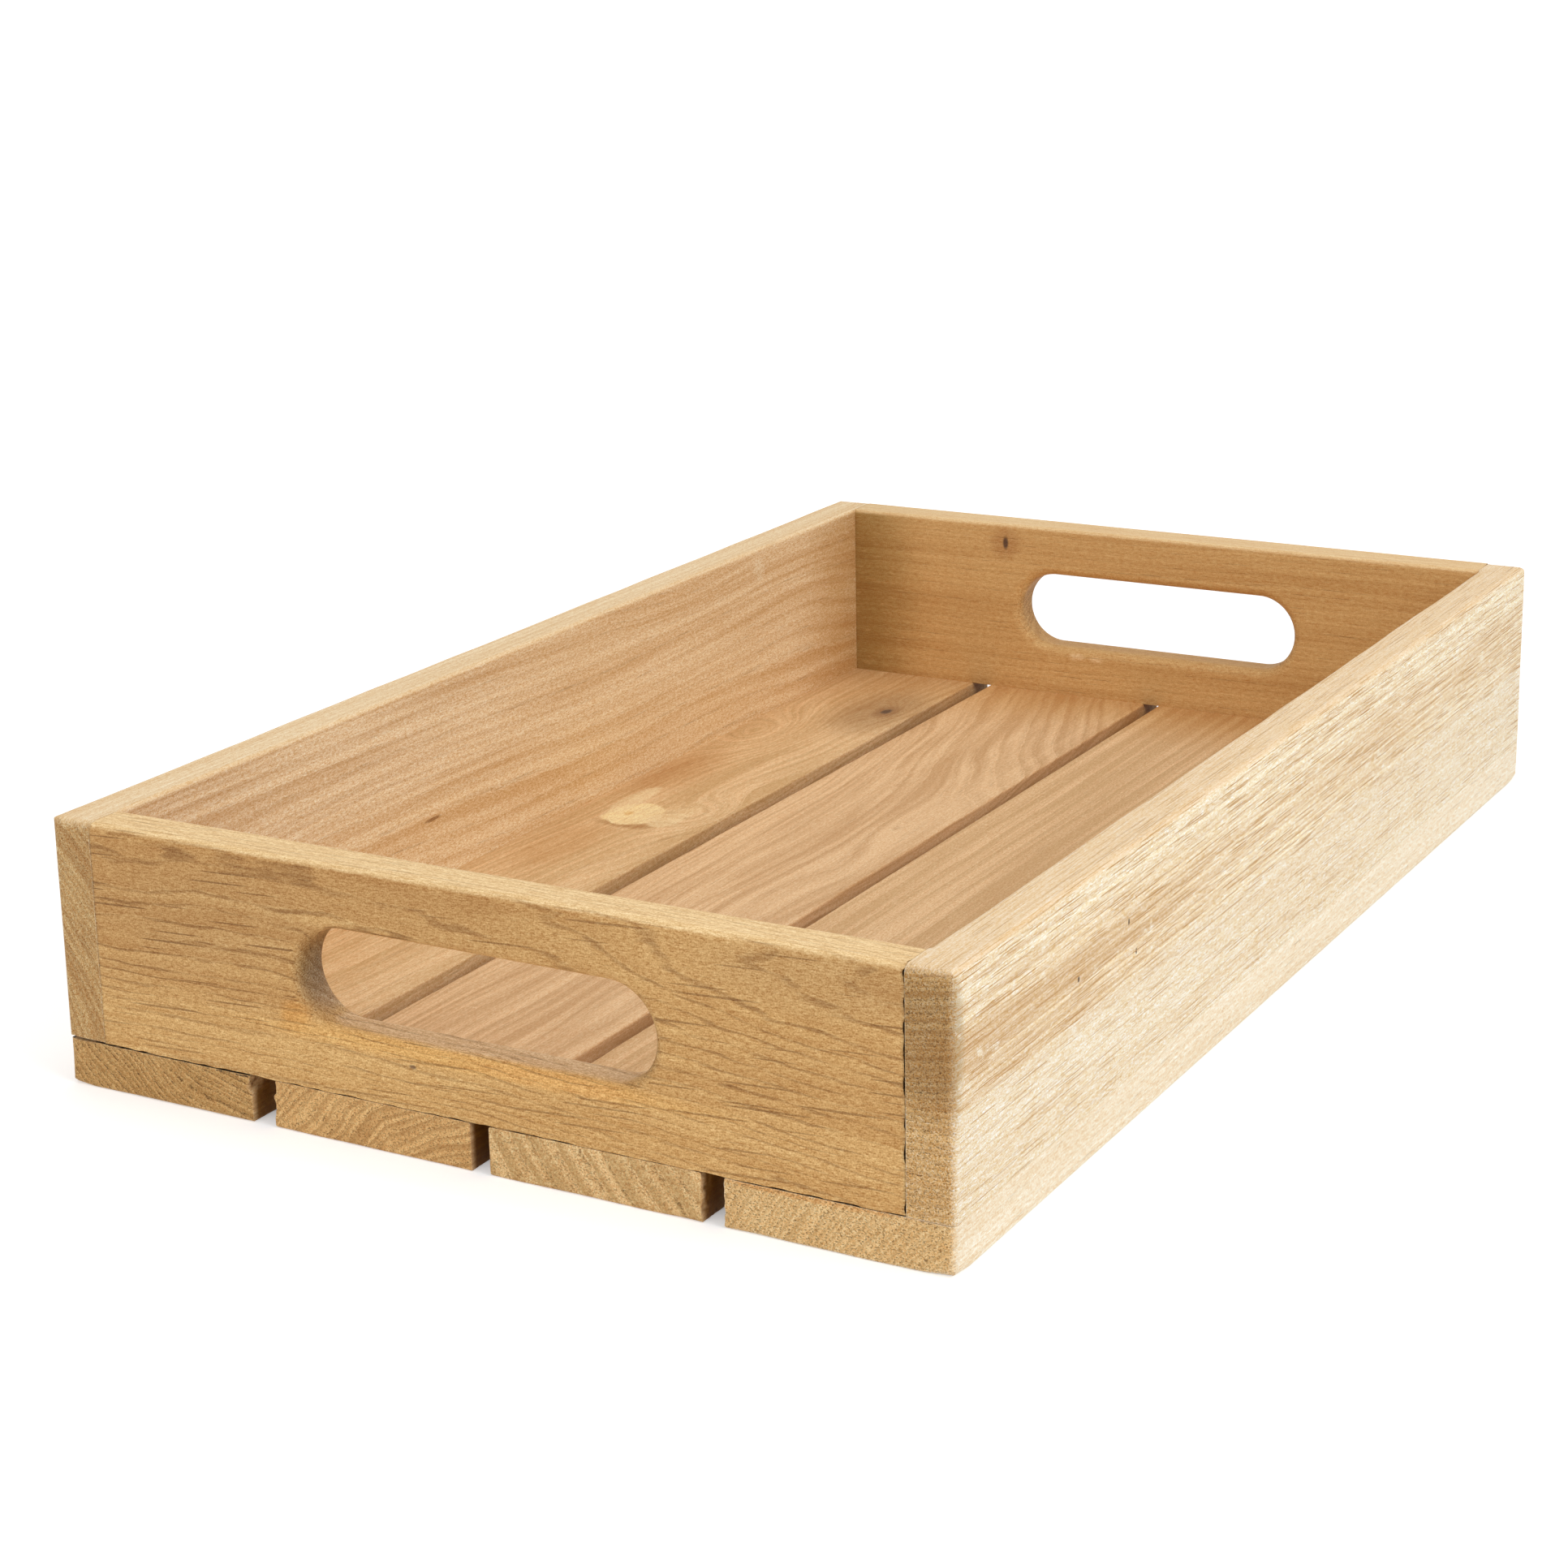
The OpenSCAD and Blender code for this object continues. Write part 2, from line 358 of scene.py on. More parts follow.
# Closed ring-shaped surface: u runs round the slot and the board's outline, v runs from the slot's wall
# over the front face, the outer edge and the rear face back to the wall
def makeEndBoard(name, node, sign, seed):
    low, high = edges(node)
    size, cut = edgeSizes, handSlot
    half = (high - low) / 2
    middle = (high + low) / 2
    across = boardSteps(-half[0], half[0], size["endStep"])[:-1]
    upward = boardSteps(-half[2], half[2], size["endStep"])[:-1]
    rimX = np.concatenate([-across, np.full(len(upward), -half[0]), across, np.full(len(upward), half[0])])
    rimZ = np.concatenate([np.full(len(across), half[2]), -upward, np.full(len(across), -half[2]), upward])
    radius = cut["height"] / 2
    run = cut["length"][sign] / 2 - radius
    quarter = np.linspace(-1, 1, len(across) + 1)[:-1]
    side = np.linspace(-1, 1, len(upward) + 1)[:-1]
    arc = math.pi / 4
    total = run + radius * arc

    # One long side of the slot, t from -1 to 1: a straight run with an eighth of a circle at each end
    def longSide(t):
        along = t * total
        over = np.clip(np.abs(along) - run, 0, None) / radius
        return np.clip(along, -run, run), np.sign(along) * np.sin(over), np.cos(over)

    topCentre, topX, topZ = longSide(-quarter)
    lowCentre, lowX, lowZ = longSide(quarter)
    angle = side * arc
    centre = np.concatenate([topCentre, np.full(len(side), -run), lowCentre, np.full(len(side), run)])
    normalX = np.concatenate([topX, -np.cos(angle), lowX, np.cos(angle)])
    normalZ = np.concatenate([topZ, -np.sin(angle), -lowZ, np.sin(angle)])

    # Rows from the slot's wall outwards: distance from the slot's middle line, depth, share towards the rim
    def rowsOf(distance, depth, share):
        return np.column_stack(np.broadcast_arrays(distance, depth, share))

    thick = half[1]
    flat = thick - cut["roundOver"]
    turn = np.linspace(0, math.pi / 2, cut["arcSteps"] + 1)
    wall = np.linspace(0, flat, cut["wallSteps"])[:-1]
    spread = edgeSteps(0, 1, *cut["spread"])[1:]
    band = boardSteps(-thick, thick, size["endStep"])[1:-1]
    full = radius + cut["roundOver"]
    lip = rowsOf(radius + cut["roundOver"] * (1 - np.cos(turn)), flat + cut["roundOver"] * np.sin(turn), 0.0)
    sheet = rowsOf(full, thick, spread)
    turnedOver = np.array([1, -1, 1])
    rows = np.concatenate([rowsOf(radius, -wall, 0.0), lip * turnedOver, sheet * turnedOver,
                           rowsOf(full, band, 1.0), sheet[::-1], lip[::-1],
                           rowsOf(radius, wall[:0:-1], 0.0)])
    slotX = centre[None] + rows[:, :1] * normalX[None] + cut["middle"][sign]
    slotZ = rows[:, :1] * normalZ[None]
    share = rows[:, 2:3]
    x = slotX + (rimX[None] - slotX) * share
    z = slotZ + (rimZ[None] - slotZ) * share
    y = np.broadcast_to(rows[:, 1:2], x.shape)
    points = np.stack([x, y, z], axis=-1).reshape(-1, 3) + middle
    countV, countU = x.shape
    v, u = np.meshgrid(np.arange(countV), np.arange(countU), indexing="ij")
    nextU, nextV = (u + 1) % countU, (v + 1) % countV
    row, nextRow = v * countU, nextV * countU
    faces = np.stack([row + u, nextRow + u, nextRow + nextU, row + nextU], axis=-1).reshape(-1, 4)

    left, right, front, rear, bottom, top = sixFaces(low, high)
    outer, inner = (front, rear) if sign < 0 else (rear, front)
    wander = wandering(points, wallWear, seed)
    easeEdge(points, outer, top, (size["outerTop"] if sign < 0 else size["leftTop"]) * wander)
    easeEdge(points, inner, top, size["innerTop"] * wander)
    easeEdge(points, outer, bottom, size["tucked"] * wander)
    for end in (left, right):
        easeEdge(points, outer, end, size["tucked"] * wander)
        easeEdge(points, top, end, size["joint"] * wander)
    openings = (bottom, "underEnd"), (right, "rightJoint"), (left, "leftJoint")
    for step, (joint, seam) in enumerate(openings, 1):
        openSeam(points, joint, outer, brokenDepth(points, seams[seam], seed + step))
    return newBoard(name, node, points, faces)


# Slat ends and edges. Seam: how far the joint over the front end opens. Ragged: width of the strip of
# painted shade under it, from the left to the right edge. Paler: how much less painted shade the top of the
# gap's wall gets.
# Torn: side, heights between which it is torn, depth, and how far it runs back from the front.
slatWear = {
    "floor_slat_1": {"seam": 0.42 * mm, "ragged": (0.5 * mm, 1.3 * mm), "paler": 0.5,
                     "tornAndSeamShade": (1, 7.4 * mm, 12 * mm, 1.5 * mm, 9 * mm)},
    "floor_slat_2": {"seam": 0.10 * mm, "ragged": (0.4 * mm, 0.3 * mm), "paler": 0.0,
                     "tornAndSeamShade": (-1, 2.5 * mm, 12 * mm, 0.8 * mm, 4 * mm)},
    "floor_slat_3": {"seam": 0.05 * mm, "ragged": (0.3 * mm, 0.3 * mm), "paler": 0.0,
                     "tornAndSeamShade": (1, 0.5 * mm, 12 * mm, 0.7 * mm, 4 * mm)},
    "floor_slat_4": {"seam": 0.16 * mm, "ragged": (0.4 * mm, 0.7 * mm), "paler": 0.0,
                     "tornAndSeamShade": (-1, 1 * mm, 12 * mm, 0.4 * mm, 4 * mm)},
}
sawMarks = {"depth": 0.16 * mm, "cell": (4 * mm, 1.1 * mm, 5 * mm)}
tearing = {"cell": (3 * mm, 1.2 * mm, 1.3 * mm), "bias": 0.5, "swing": 0.9, "soft": mm}


# Floor slat: a closed block with rounded edges, sawn walls along the gaps and a torn edge at the front
def makeSlat(name, node, seed):
    low, high = edges(node)
    size, wear = edgeSizes, slatWear[node]
    xs = boardSteps(low[0], high[0], size["slatStep"])
    ys = edgeSteps(low[1], high[1], size["slatStep"], size["slatEndStrip"], size["slatEndStep"])
    zs = boardSteps(low[2], high[2], size["fineStep"])
    points, faces = blockSurface(xs, ys, zs)
    left, right, front, rear, bottom, top = sixFaces(low, high)
    wander = wandering(points, slatEdgeWear, seed)
    toCorner = np.hypot(trayHigh[0] - np.abs(points[:, 0]), trayHigh[1] - np.abs(points[:, 1]))
    corner = np.clip(1 - toCorner / size["cornerReach"], 0, 1)
    endFoot = size["footEdge"] * wander + (size["cornerFoot"] - size["footEdge"]) * corner
    sideFoot = size["footEdge"] + (size["cornerFoot"] - size["footEdge"]) * corner
    for side in (left, right):
        outermost = abs(abs(side[1]) - trayHigh[0]) < size["same"]
        foot = sideFoot if outermost else size["slatLong"] * wander
        crown = size["slatLong"]
        if outermost:
            crown = size["sideFoot"] if side[2] < 0 else size["joint"]
        easeEdge(points, side, top, crown * wander)
        easeEdge(points, side, bottom, foot)
        for end in (front, rear):
            easeEdge(points, side, end, (size["outerCorner"] if outermost else size["joint"]) * wander)
        if not outermost:
            sawn = sawMarks["depth"] * np.abs(latticeNoise(points, sawMarks["cell"], seed + 1))
            openSeam(points, side, side, sawn)
    for end in (front, rear):
        easeEdge(points, bottom, end, endFoot)
        easeEdge(points, top, end, np.where(points[:, 0] > innerX, size["tight"], size["slatEnd"]) * wander)
        opening = brokenDepth(points, (wear["seam"], *seams["slatBits"]), seed + 2)
        openSeam(points, top, end, opening)
    sign, lowest, highest, depth, reach = wear["tornAndSeamShade"]
    chance = tearing["bias"] + tearing["swing"] * latticeNoise(points, tearing["cell"], seed + 3)
    above = np.clip((points[:, 2] - lowest) / tearing["soft"], 0, 1)
    below = np.clip((highest - points[:, 2]) / tearing["soft"] + 1, 0, 1)
    tornAndSeamShade = depth * np.clip(chance, 0, 1) * (above * below)
    openSeam(points, right if sign > 0 else left, front, tornAndSeamShade, reach)
    return newBoard(name, node, points, faces)


boards = {
    "left_side": makeSideBoard("left_side", "left_side_board", -1, 11),
    "right_side": makeSideBoard("right_side", "right_side_board", 1, 12),
    "front_end": makeEndBoard("front_end", "front_end_board", -1, 13),
    "rear_end": makeEndBoard("rear_end", "rear_end_board", 1, 14),
}
for index in range(1, 5):
    boards[f"slat_{index}"] = makeSlat(f"slat_{index}", f"floor_slat_{index}", 20 + index)
print("boards made:", {n: len(b.data.polygons) for n, b in boards.items()})


dowelBoxes = [box for ends in ("front", "rear") for side in ("left", "right")
              for box in solidBoxes(f"{ends}_{side}_dowels")]
screwBoxes = [box for side in ("front", "rear", "left", "right")
              for box in solidBoxes(f"{side}_slat_screws")]


# A board takes the bores of the dowels and screws whose axis lies within its outline
def boreBoard(piece, low, high):
    bodies = []
    for boxLow, boxHigh in dowelBoxes:
        centre = (boxLow + boxHigh) / 2
        if np.all(boxLow < high) and np.all(boxHigh > low):
            radius = (boxHigh[2] - boxLow[2]) / 2 + bores["dowelFit"]
            reach = (boxHigh[0] - boxLow[0]) / 2 + bores["dowelSpare"]
            profile = [(0, -reach), (radius, -reach), (radius, reach), (0, reach)]
            bodies.append(turnedBody(profile, centre, 0))
    for boxLow, boxHigh in screwBoxes:
        centre = (boxLow + boxHigh) / 2
        if not (low[0] < centre[0] < high[0] and low[1] < centre[1] < high[1]):
            continue
        head = (boxHigh[0] - boxLow[0]) / 2
        start = low[2] - bores["past"]
        if low[2] < boxLow[2]:
            radius, end = bores["shank"] + bores["shankFit"], high[2] + bores["past"]
            profile = [(0, start), (head, start), (head, boxLow[2]), (radius, boxLow[2] + head - radius),
                       (radius, end), (0, end)]
        else:
            radius, end = bores["shank"] + bores["screwFit"], boxHigh[2] + bores["screwSpare"]
            profile = [(0, start), (radius, start), (radius, end), (0, end)]
        bodies.append(turnedBody(profile, (centre[0], centre[1], 0), 2))
    cutAway(piece, bodies)


nodeOf = {"left_side": "left_side_board", "right_side": "right_side_board", "front_end": "front_end_board",
          "rear_end": "rear_end_board", **{f"slat_{n}": f"floor_slat_{n}" for n in range(1, 5)}}
for name, piece in boards.items():
    boreBoard(piece, *edges(nodeOf[name]))
print("bores cut:", {n: len(b.data.polygons) for n, b in boards.items()})


# A value, vector or colour in a node tree. Arithmetic makes Math nodes, or Vector Math nodes where the
# first one isn't a plain value.
class Flow:
    def __init__(self, tree, socket):
        self.tree, self.socket = tree, socket

    def node(self, kind, inputs, output=0, **settings):
        return Flow(self.tree, putNode(self.tree, kind, inputs, **settings).outputs[output])

    def maths(self, operation, *values, output=0):
        kind = "ShaderNodeMath" if self.socket.type == "VALUE" else "ShaderNodeVectorMath"
        return self.node(kind, dict(enumerate(values)), output, operation=operation)

    def __add__(self, other):
        return self.maths("ADD", self, other)

    def __sub__(self, other):
        return self.maths("SUBTRACT", self, other)

    def __rsub__(self, other):
        return self.maths("SUBTRACT", other, self)

    def __mul__(self, other):
        return self.maths("MULTIPLY", self, other)

    def __truediv__(self, other):
        return self.maths("DIVIDE", self, other)

    def length(self):
        return self.maths("LENGTH", self, output=1)

    def part(self, axis):
        return self.node("ShaderNodeSeparateXYZ", {0: self}, axis)

    # From 0 at low to 1 at high, with smooth ends
    def ramp(self, low, high):
        return self.node("ShaderNodeMapRange", {"Value": self, "From Min": low, "From Max": high},
                         interpolation_type="SMOOTHSTEP")

    # From the first colour at 0 to the second at 1
    def blend(self, first, second):
        return self.node("ShaderNodeMix", {"Factor": self, 6: first, 7: second}, 2, data_type="RGBA")

    def clamped(self):
        return self.node("ShaderNodeClamp", {"Value": self})


# Gives the inputs their values: a link, a colour with its fourth part added, or a plain value
def fillNode(node, inputs):
    for key, value in inputs.items():
        socket = node.inputs[key]
        if isinstance(value, Flow):
            value.tree.links.new(value.socket, socket)
        elif socket.type == "RGBA":
            socket.default_value = (*value, 1)
        else:
            socket.default_value = value


def putNode(tree, kind, inputs=None, **settings):
    node = tree.nodes.new(kind)
    for key, value in settings.items():
        setattr(node, key, value)
    fillNode(node, inputs or {})
    return node


# The sockets of a node by name
def flows(tree, sockets):
    return SimpleNamespace(**{socket.name: Flow(tree, socket) for socket in sockets if socket.name})


def joined(x, y, z):
    return x.node("ShaderNodeCombineXYZ", {"X": x, "Y": y, "Z": z})


# A vector whose parts are the value raised to each of the powers
def powered(value, powers):
    powers = powers if isinstance(powers, tuple) else [powers.part(axis) for axis in "XYZ"]
    return joined(*(value.maths("POWER", value, power) for power in powers))


# Random value round 0, in cells of the given size
def noise(vector, size, seed, detail=2.0, roughness=0.5):
    inputs = {"Vector": vector / size + seed, "Scale": 1.0, "Detail": detail, "Roughness": roughness}
    return vector.node("ShaderNodeTexNoise", inputs) - 0.5


# Cells of the given size: the distance from the nearest middle, and a random value of its own for each
def cells(vector, size, seed, part):
    found = putNode(vector.tree, "ShaderNodeTexVoronoi", {"Vector": vector / size + seed, "Scale": 1.0})
    found = flows(vector.tree, found.outputs)
    return found.Distance, vector.node("ShaderNodeSeparateColor", {"Color": found.Color}, part)


def objectPlace(tree):
    return Flow(tree, putNode(tree, "ShaderNodeTexCoord").outputs["Object"])


# Object coordinates in mm, turned to lie along a board
def millimetres(tree, turn=(0, 0, 0)):
    mapping = {"Vector": objectPlace(tree), "Rotation": turn, "Scale": (1 / mm,) * 3}
    return Flow(tree, putNode(tree, "ShaderNodeMapping", mapping).outputs[0])


# 1 for what the camera sees, directly, mirrored or through glass, and 0 for the light that it gives
def seenRays(tree):
    path = putNode(tree, "ShaderNodeLightPath").outputs
    seen = Flow(tree, path["Is Camera Ray"])
    for kind in ("Is Glossy Ray", "Is Transmission Ray"):
        seen = seen.maths("MAXIMUM", seen, Flow(tree, path[kind]))
    return seen


# A node group; its inputs are plain values, vectors and colours, and each is a row of names
def newGroup(name, values, places, colours, outputs):
    tree = bpy.data.node_groups.new(name, "ShaderNodeTree")
    for kind, labels in (("Float", values), ("Vector", places), ("Color", colours)):
        for label in labels.split():
            tree.interface.new_socket(label, in_out="INPUT", socket_type="NodeSocket" + kind)
    for label in outputs.split():
        kind = "Color" if label == "colour" else "Float"
        tree.interface.new_socket(label, in_out="OUTPUT", socket_type="NodeSocket" + kind)
    return flows(tree, tree.nodes.new("NodeGroupInput").outputs), tree.nodes.new("NodeGroupOutput")


# Places a group; what isn't among the values comes from the look's entries of the same names
def useGroup(tree, group, values, look):
    known = {**look, **values}
    names = [item.name for item in group.interface.items_tree if item.in_out == "INPUT"]
    inputs = {name: known[name] for name in names}
    return flows(tree, putNode(tree, "ShaderNodeGroup", inputs, node_tree=group).outputs)


def newMaterial(name):
    material = bpy.data.materials.new(name)
    material.use_nodes = True
    return material, material.node_tree, material.node_tree.nodes["Principled BSDF"]


def bumped(height, strength, distance):
    return height.node("ShaderNodeBump", {"Strength": strength, "Distance": distance, "Height": height})


# Swell: a hill of the given height in the ring field, falling off as exp(-d^2), d in shares of its size
def makeSwell():
    given, result = newGroup("grainSwell", "height", "place centre size", "", "swell")
    offset = (given.place - given.centre) / given.size
    square = offset.maths("DOT_PRODUCT", offset, offset, output=1) * -1.0
    fillNode(result, {"swell": square.maths("EXPONENT", square) * given.height})
    return result.id_data


# Patch: 1 inside an ellipsoid, 0 outside, over an edge made ragged by noise
def makePatch():
    given, result = newGroup("grainPatch", "edge ragged", "place centre size raggedSize seed", "", "mask")
    inside = 1.0 - ((given.place - given.centre) / given.size).length()
    inside = noise(given.place, given.raggedSize, given.seed) * given.ragged + inside
    half = given.edge * 0.5
    fillNode(result, {"mask": inside.ramp(half * -1.0, half)})
    return result.id_data


# In mm: how softly the taper sets in, the radius the arc is measured at, and how far long waves move it
ringShape = {"taperSoft": 30.0, "arcRadius": 60.0, "arcWave": 3.0}


# Ring field in mm: distance from the pith line, plus the taper of the trunk along X, plus long and short
# waves, plus the given swell. Arc is the place round the pith.
def makeRingField():
    given, result = newGroup("ringField", "taper taperStart swell sway ripple",
                             "place pith swaySize rippleSize seed", "", "field arc")
    offset = (given.place - given.pith) * (0, 1, 1)
    past = given.place.part("X") - given.taperStart
    past = past.maths("SMOOTH_MAX", past, 0.0, ringShape["taperSoft"])
    longWave = noise(given.place, given.swaySize, given.seed, 1.0)
    shortWave = noise(given.place, given.rippleSize, given.seed)
    field = past * given.taper + (offset.length() + given.swell)
    field = shortWave * (given.ripple * 2.0) + (longWave * (given.sway * 2.0) + field)
    angle = past.maths("ARCTAN2", offset.part("Y"), offset.part("Z"))
    arc = longWave * ringShape["arcWave"] + angle * ringShape["arcRadius"]
    fillNode(result, {"field": field, "arc": arc})
    return result.id_data


grainMarks = "line late ringTone pores fibre fleck grit rays dots band dashes"

# Cells are in mm along, across and through the board. A pair is where a mark begins and where it is full:
# in shares of a ring for the line and the late wood, and in the noise or distance it is made from otherwise.
grainShape = {
    "raggedCell": (9, 0.8, 0.8), "fadeCell": (26, 2.4, 2.4), "gritCell": (0.40, 0.32, 0.32),
    "rayCell": (5, 0.30, 7), "dashCell": (36, 0.9, 0.9), "dotCell": (4, 0.6, 0.36), "unevenScale": 0.13,
    "unevenSwing": 4.0, "lineRise": 0.09, "lineFall": 0.4, "widthSwing": 1.5, "lineSeen": (-0.22, 0.12),
    "lateRise": (0.35, 1.0), "lateFall": (0.97, 1.0), "poreEdge": (-0.02, 0.05), "poreSwing": 0.7,
    "poreLeast": 0.3, "rayEdge": (0.12, 0.22), "dashReach": 0.32, "dashEdge": (-0.02, 0.04),
    "dotEdge": (0.04, 0.13), "dotLate": 0.6,
}


# Oak grain in mm. Line: the row of wide pores where each ring begins. Late: the dense end of each ring.
# Pores: long cells along X, wide in the row and fine elsewhere. Rays: thin sheets across the rings.
# Dashes: a few long cells. Dots: short marks. Band, fibre, fleck and grit: noise from coarse to fine.
def makeOakGrain():
    given, result = newGroup("oakGrain", "field arc ring uneven rowWidth rowPore finePore ragged",
                             "place lean poreCell fibreSize fleckSize bandSize seed", "", grainMarks)
    shape, place, field, seed = grainShape, given.place, given.field, given.seed
    along = place.part("X")
    leant = place + given.lean * along
    uneven = field.node("ShaderNodeTexNoise", {"W": field, "Scale": shape["unevenScale"], "Detail": 1.0},
                        noise_dimensions="1D")
    warped = uneven * (given.uneven * shape["unevenSwing"]) + field
    warped = noise(leant, shape["raggedCell"], seed, 2.0, 0.6) * given.ragged + warped
    rings = warped / given.ring
    phase = rings.maths("FRACT", rings)
    ringTone = rings.node("ShaderNodeTexWhiteNoise", {"W": rings.maths("FLOOR", rings)}, "Value",
                          noise_dimensions="1D")
    fade = noise(leant, shape["fadeCell"], seed, 2.0, 0.6)
    width = given.rowWidth * (fade * shape["widthSwing"] + 1.0)
    line = phase.ramp(0.0, shape["lineRise"]) * (1.0 - phase.ramp(width * shape["lineFall"], width))
    line = line * fade.ramp(*shape["lineSeen"])
    late = phase.ramp(*shape["lateRise"]) * (1.0 - phase.ramp(*shape["lateFall"]))
    distance, chance = cells(leant, given.poreCell, seed, "Red")
    reach = line * (given.rowPore - given.finePore) + given.finePore
    pores = (reach - distance).ramp(*shape["poreEdge"]) * (chance * shape["poreSwing"] + shape["poreLeast"])
    fibre = noise(leant, given.fibreSize, seed, 2.0, 0.65)
    fleck = noise(leant, given.fleckSize, seed, 2.0, 0.6)
    grit = noise(place, shape["gritCell"], seed, 1.0)
    sheet = joined(along, given.arc, field)
    rays = noise(sheet, shape["rayCell"], seed, 1.0).ramp(*shape["rayEdge"])
    band = noise(sheet, given.bandSize, seed, 2.0, 0.6)
    distance, chance = cells(leant, shape["dashCell"], seed, "Green")
    dashes = (chance * shape["dashReach"] - distance).ramp(*shape["dashEdge"])
    dots = noise(place, shape["dotCell"], seed, 1.0).ramp(*shape["dotEdge"])
    dots = dots * (1.0 - late * shape["dotLate"])
    marks = (line, late, ringTone, pores, fibre, fleck, grit, rays, dots, band, dashes)
    fillNode(result, dict(zip(grainMarks.split(), marks)))
    return result.id_data


# Sanded: what the rim keeps, where it is painted paler for sanded wood and a painted sheen. End: how
# strongly the marks show on end grain. Then the painted shade in the open seams, broken up by noise.
colourShape = {
    "ringSwing": 0.35, "fibreSwing": -0.8, "sandedSheenShare": 0.85, "sandedCalm": -0.6, "sandedGrip": -0.35,
    "endPores": 0.55, "endLine": 0.45, "endDots": 0.8, "endGrip": 0.5, "endTint": (0.88, 1.0, 1.2),
    "darkest": 0.2, "fleck": 0.7, "grit": 0.6, "poreDepth": -1.0, "speckDepth": 0.5,
    "seamShadeCell": (1.1, 1.1, 1.1), "seamShadeSwing": 3.0, "seamShadeEdge": (0.36, 0.50), "seamShadeShare": 0.9,
    "seamShadeTone": (0.04, 0.022, 0.009),
}


# Oak colour: pale to deep by the rings and the broad streaks, then the rows, rays, pores and dashes on
# top. Cross is 1 on end grain. Sanded is 1 on the rim's top, painted paler for sanded wood and a painted
# sheen. Gap is 1 in the shade between two slats, and seam is 1 at a seam between boards; both take painted
# shade.
def makeOakColour():
    given, result = newGroup(
        "oakColour", grainMarks + " cross sanded gap seam strength bandShare dashShare lateShare rowShare"
        " poreShare rayShare streakShare gritShare dotShare endLine endLate toneBase broadShare",
        "place broadSize tint seed", "pale deep rowColour poreColour rayColour rimTone crossTone gapTone",
        "colour height")
    shape = colourShape
    calm = (given.sanded * shape["sandedCalm"] + 1.0) * given.strength
    tone = noise(given.place, given.broadSize, given.seed) * given.broadShare + given.toneBase
    tone = given.late * given.lateShare + tone
    tone = (given.ringTone - 0.5) * shape["ringSwing"] + tone
    tone = given.band * given.bandShare + tone
    tone = (given.fibre * given.streakShare + tone).clamped()
    base = tone.blend(given.pale, given.deep)
    streaky = given.rimTone * powered(given.fibre * shape["fibreSwing"] + 1.0, given.tint)
    # The rim's top is painted paler and less saturated: partly sanded wood, partly a painted sheen
    colour = (given.sanded * shape["sandedSheenShare"]).blend(base, streaky)
    for mark, share, over in ((given.line, given.rowShare, given.rowColour),
                              (given.rays, given.rayShare, given.rayColour),
                              (given.pores, given.poreShare, given.poreColour),
                              (given.dashes, given.dashShare, given.poreColour)):
        colour = (mark * share * calm).blend(colour, over)
    hollow = given.line * shape["endLine"] * given.endLine + given.pores * shape["endPores"]
    hollow = given.dots * shape["endDots"] * given.dotShare + hollow
    solid = 1.0 - (given.late * given.endLate + hollow)
    solid = solid.maths("MAXIMUM", solid, shape["darkest"])
    ends = base * given.crossTone * powered(solid, shape["endTint"])
    colour = given.cross.blend(colour, ends)
    speck = given.fleck * shape["fleck"] + given.grit * shape["grit"]
    grip = given.gritShare * (given.cross * shape["endGrip"] + 1.0)
    level = speck * (grip * (given.sanded * shape["sandedGrip"] + 1.0)) + 1.0
    level = level.maths("MAXIMUM", level, shape["darkest"])
    colour = colour * powered(level, given.tint)
    # Painted shade on the walls between slats
    colour = given.gap.blend(colour, colour * given.gapTone)
    # Painted shade in the open seams between boards: near black, broken up by noise
    tornAndSeamShade = noise(given.place, shape["seamShadeCell"], given.seed, 2.0, 0.7) * shape["seamShadeSwing"] + 1.0
    tornAndSeamShade = (given.seam * tornAndSeamShade).ramp(*shape["seamShadeEdge"]) * shape["seamShadeShare"]
    fillNode(result, {"colour": tornAndSeamShade.blend(colour, shape["seamShadeTone"]),
                      "height": given.pores * shape["poreDepth"] + speck * shape["speckDepth"]})
    return result.id_data


grainSwell, grainPatch, ringField = makeSwell(), makePatch(), makeRingField()
oakGrain, oakColour = makeOakGrain(), makeOakColour()


# A patch of other colour, for other wood and in some places for painted shade: centre and half sizes in mm
# along, across and through the board
def patch(centre, size, tone, share=1.0, edge=0.2, ragged=0.4, raggedSize=(12, 4, 4), deep=None,
          strength=None):
    return {"centre": centre, "size": size, "tone": tone, "share": share, "edge": edge, "ragged": ragged,
            "raggedSize": raggedSize, "deep": deep, "strength": strength}


# A swell of the ring field, placed as a patch is: its height moves the rings, in mm
def swell(centre, size, height):
    return {"centre": centre, "size": size, "height": height}


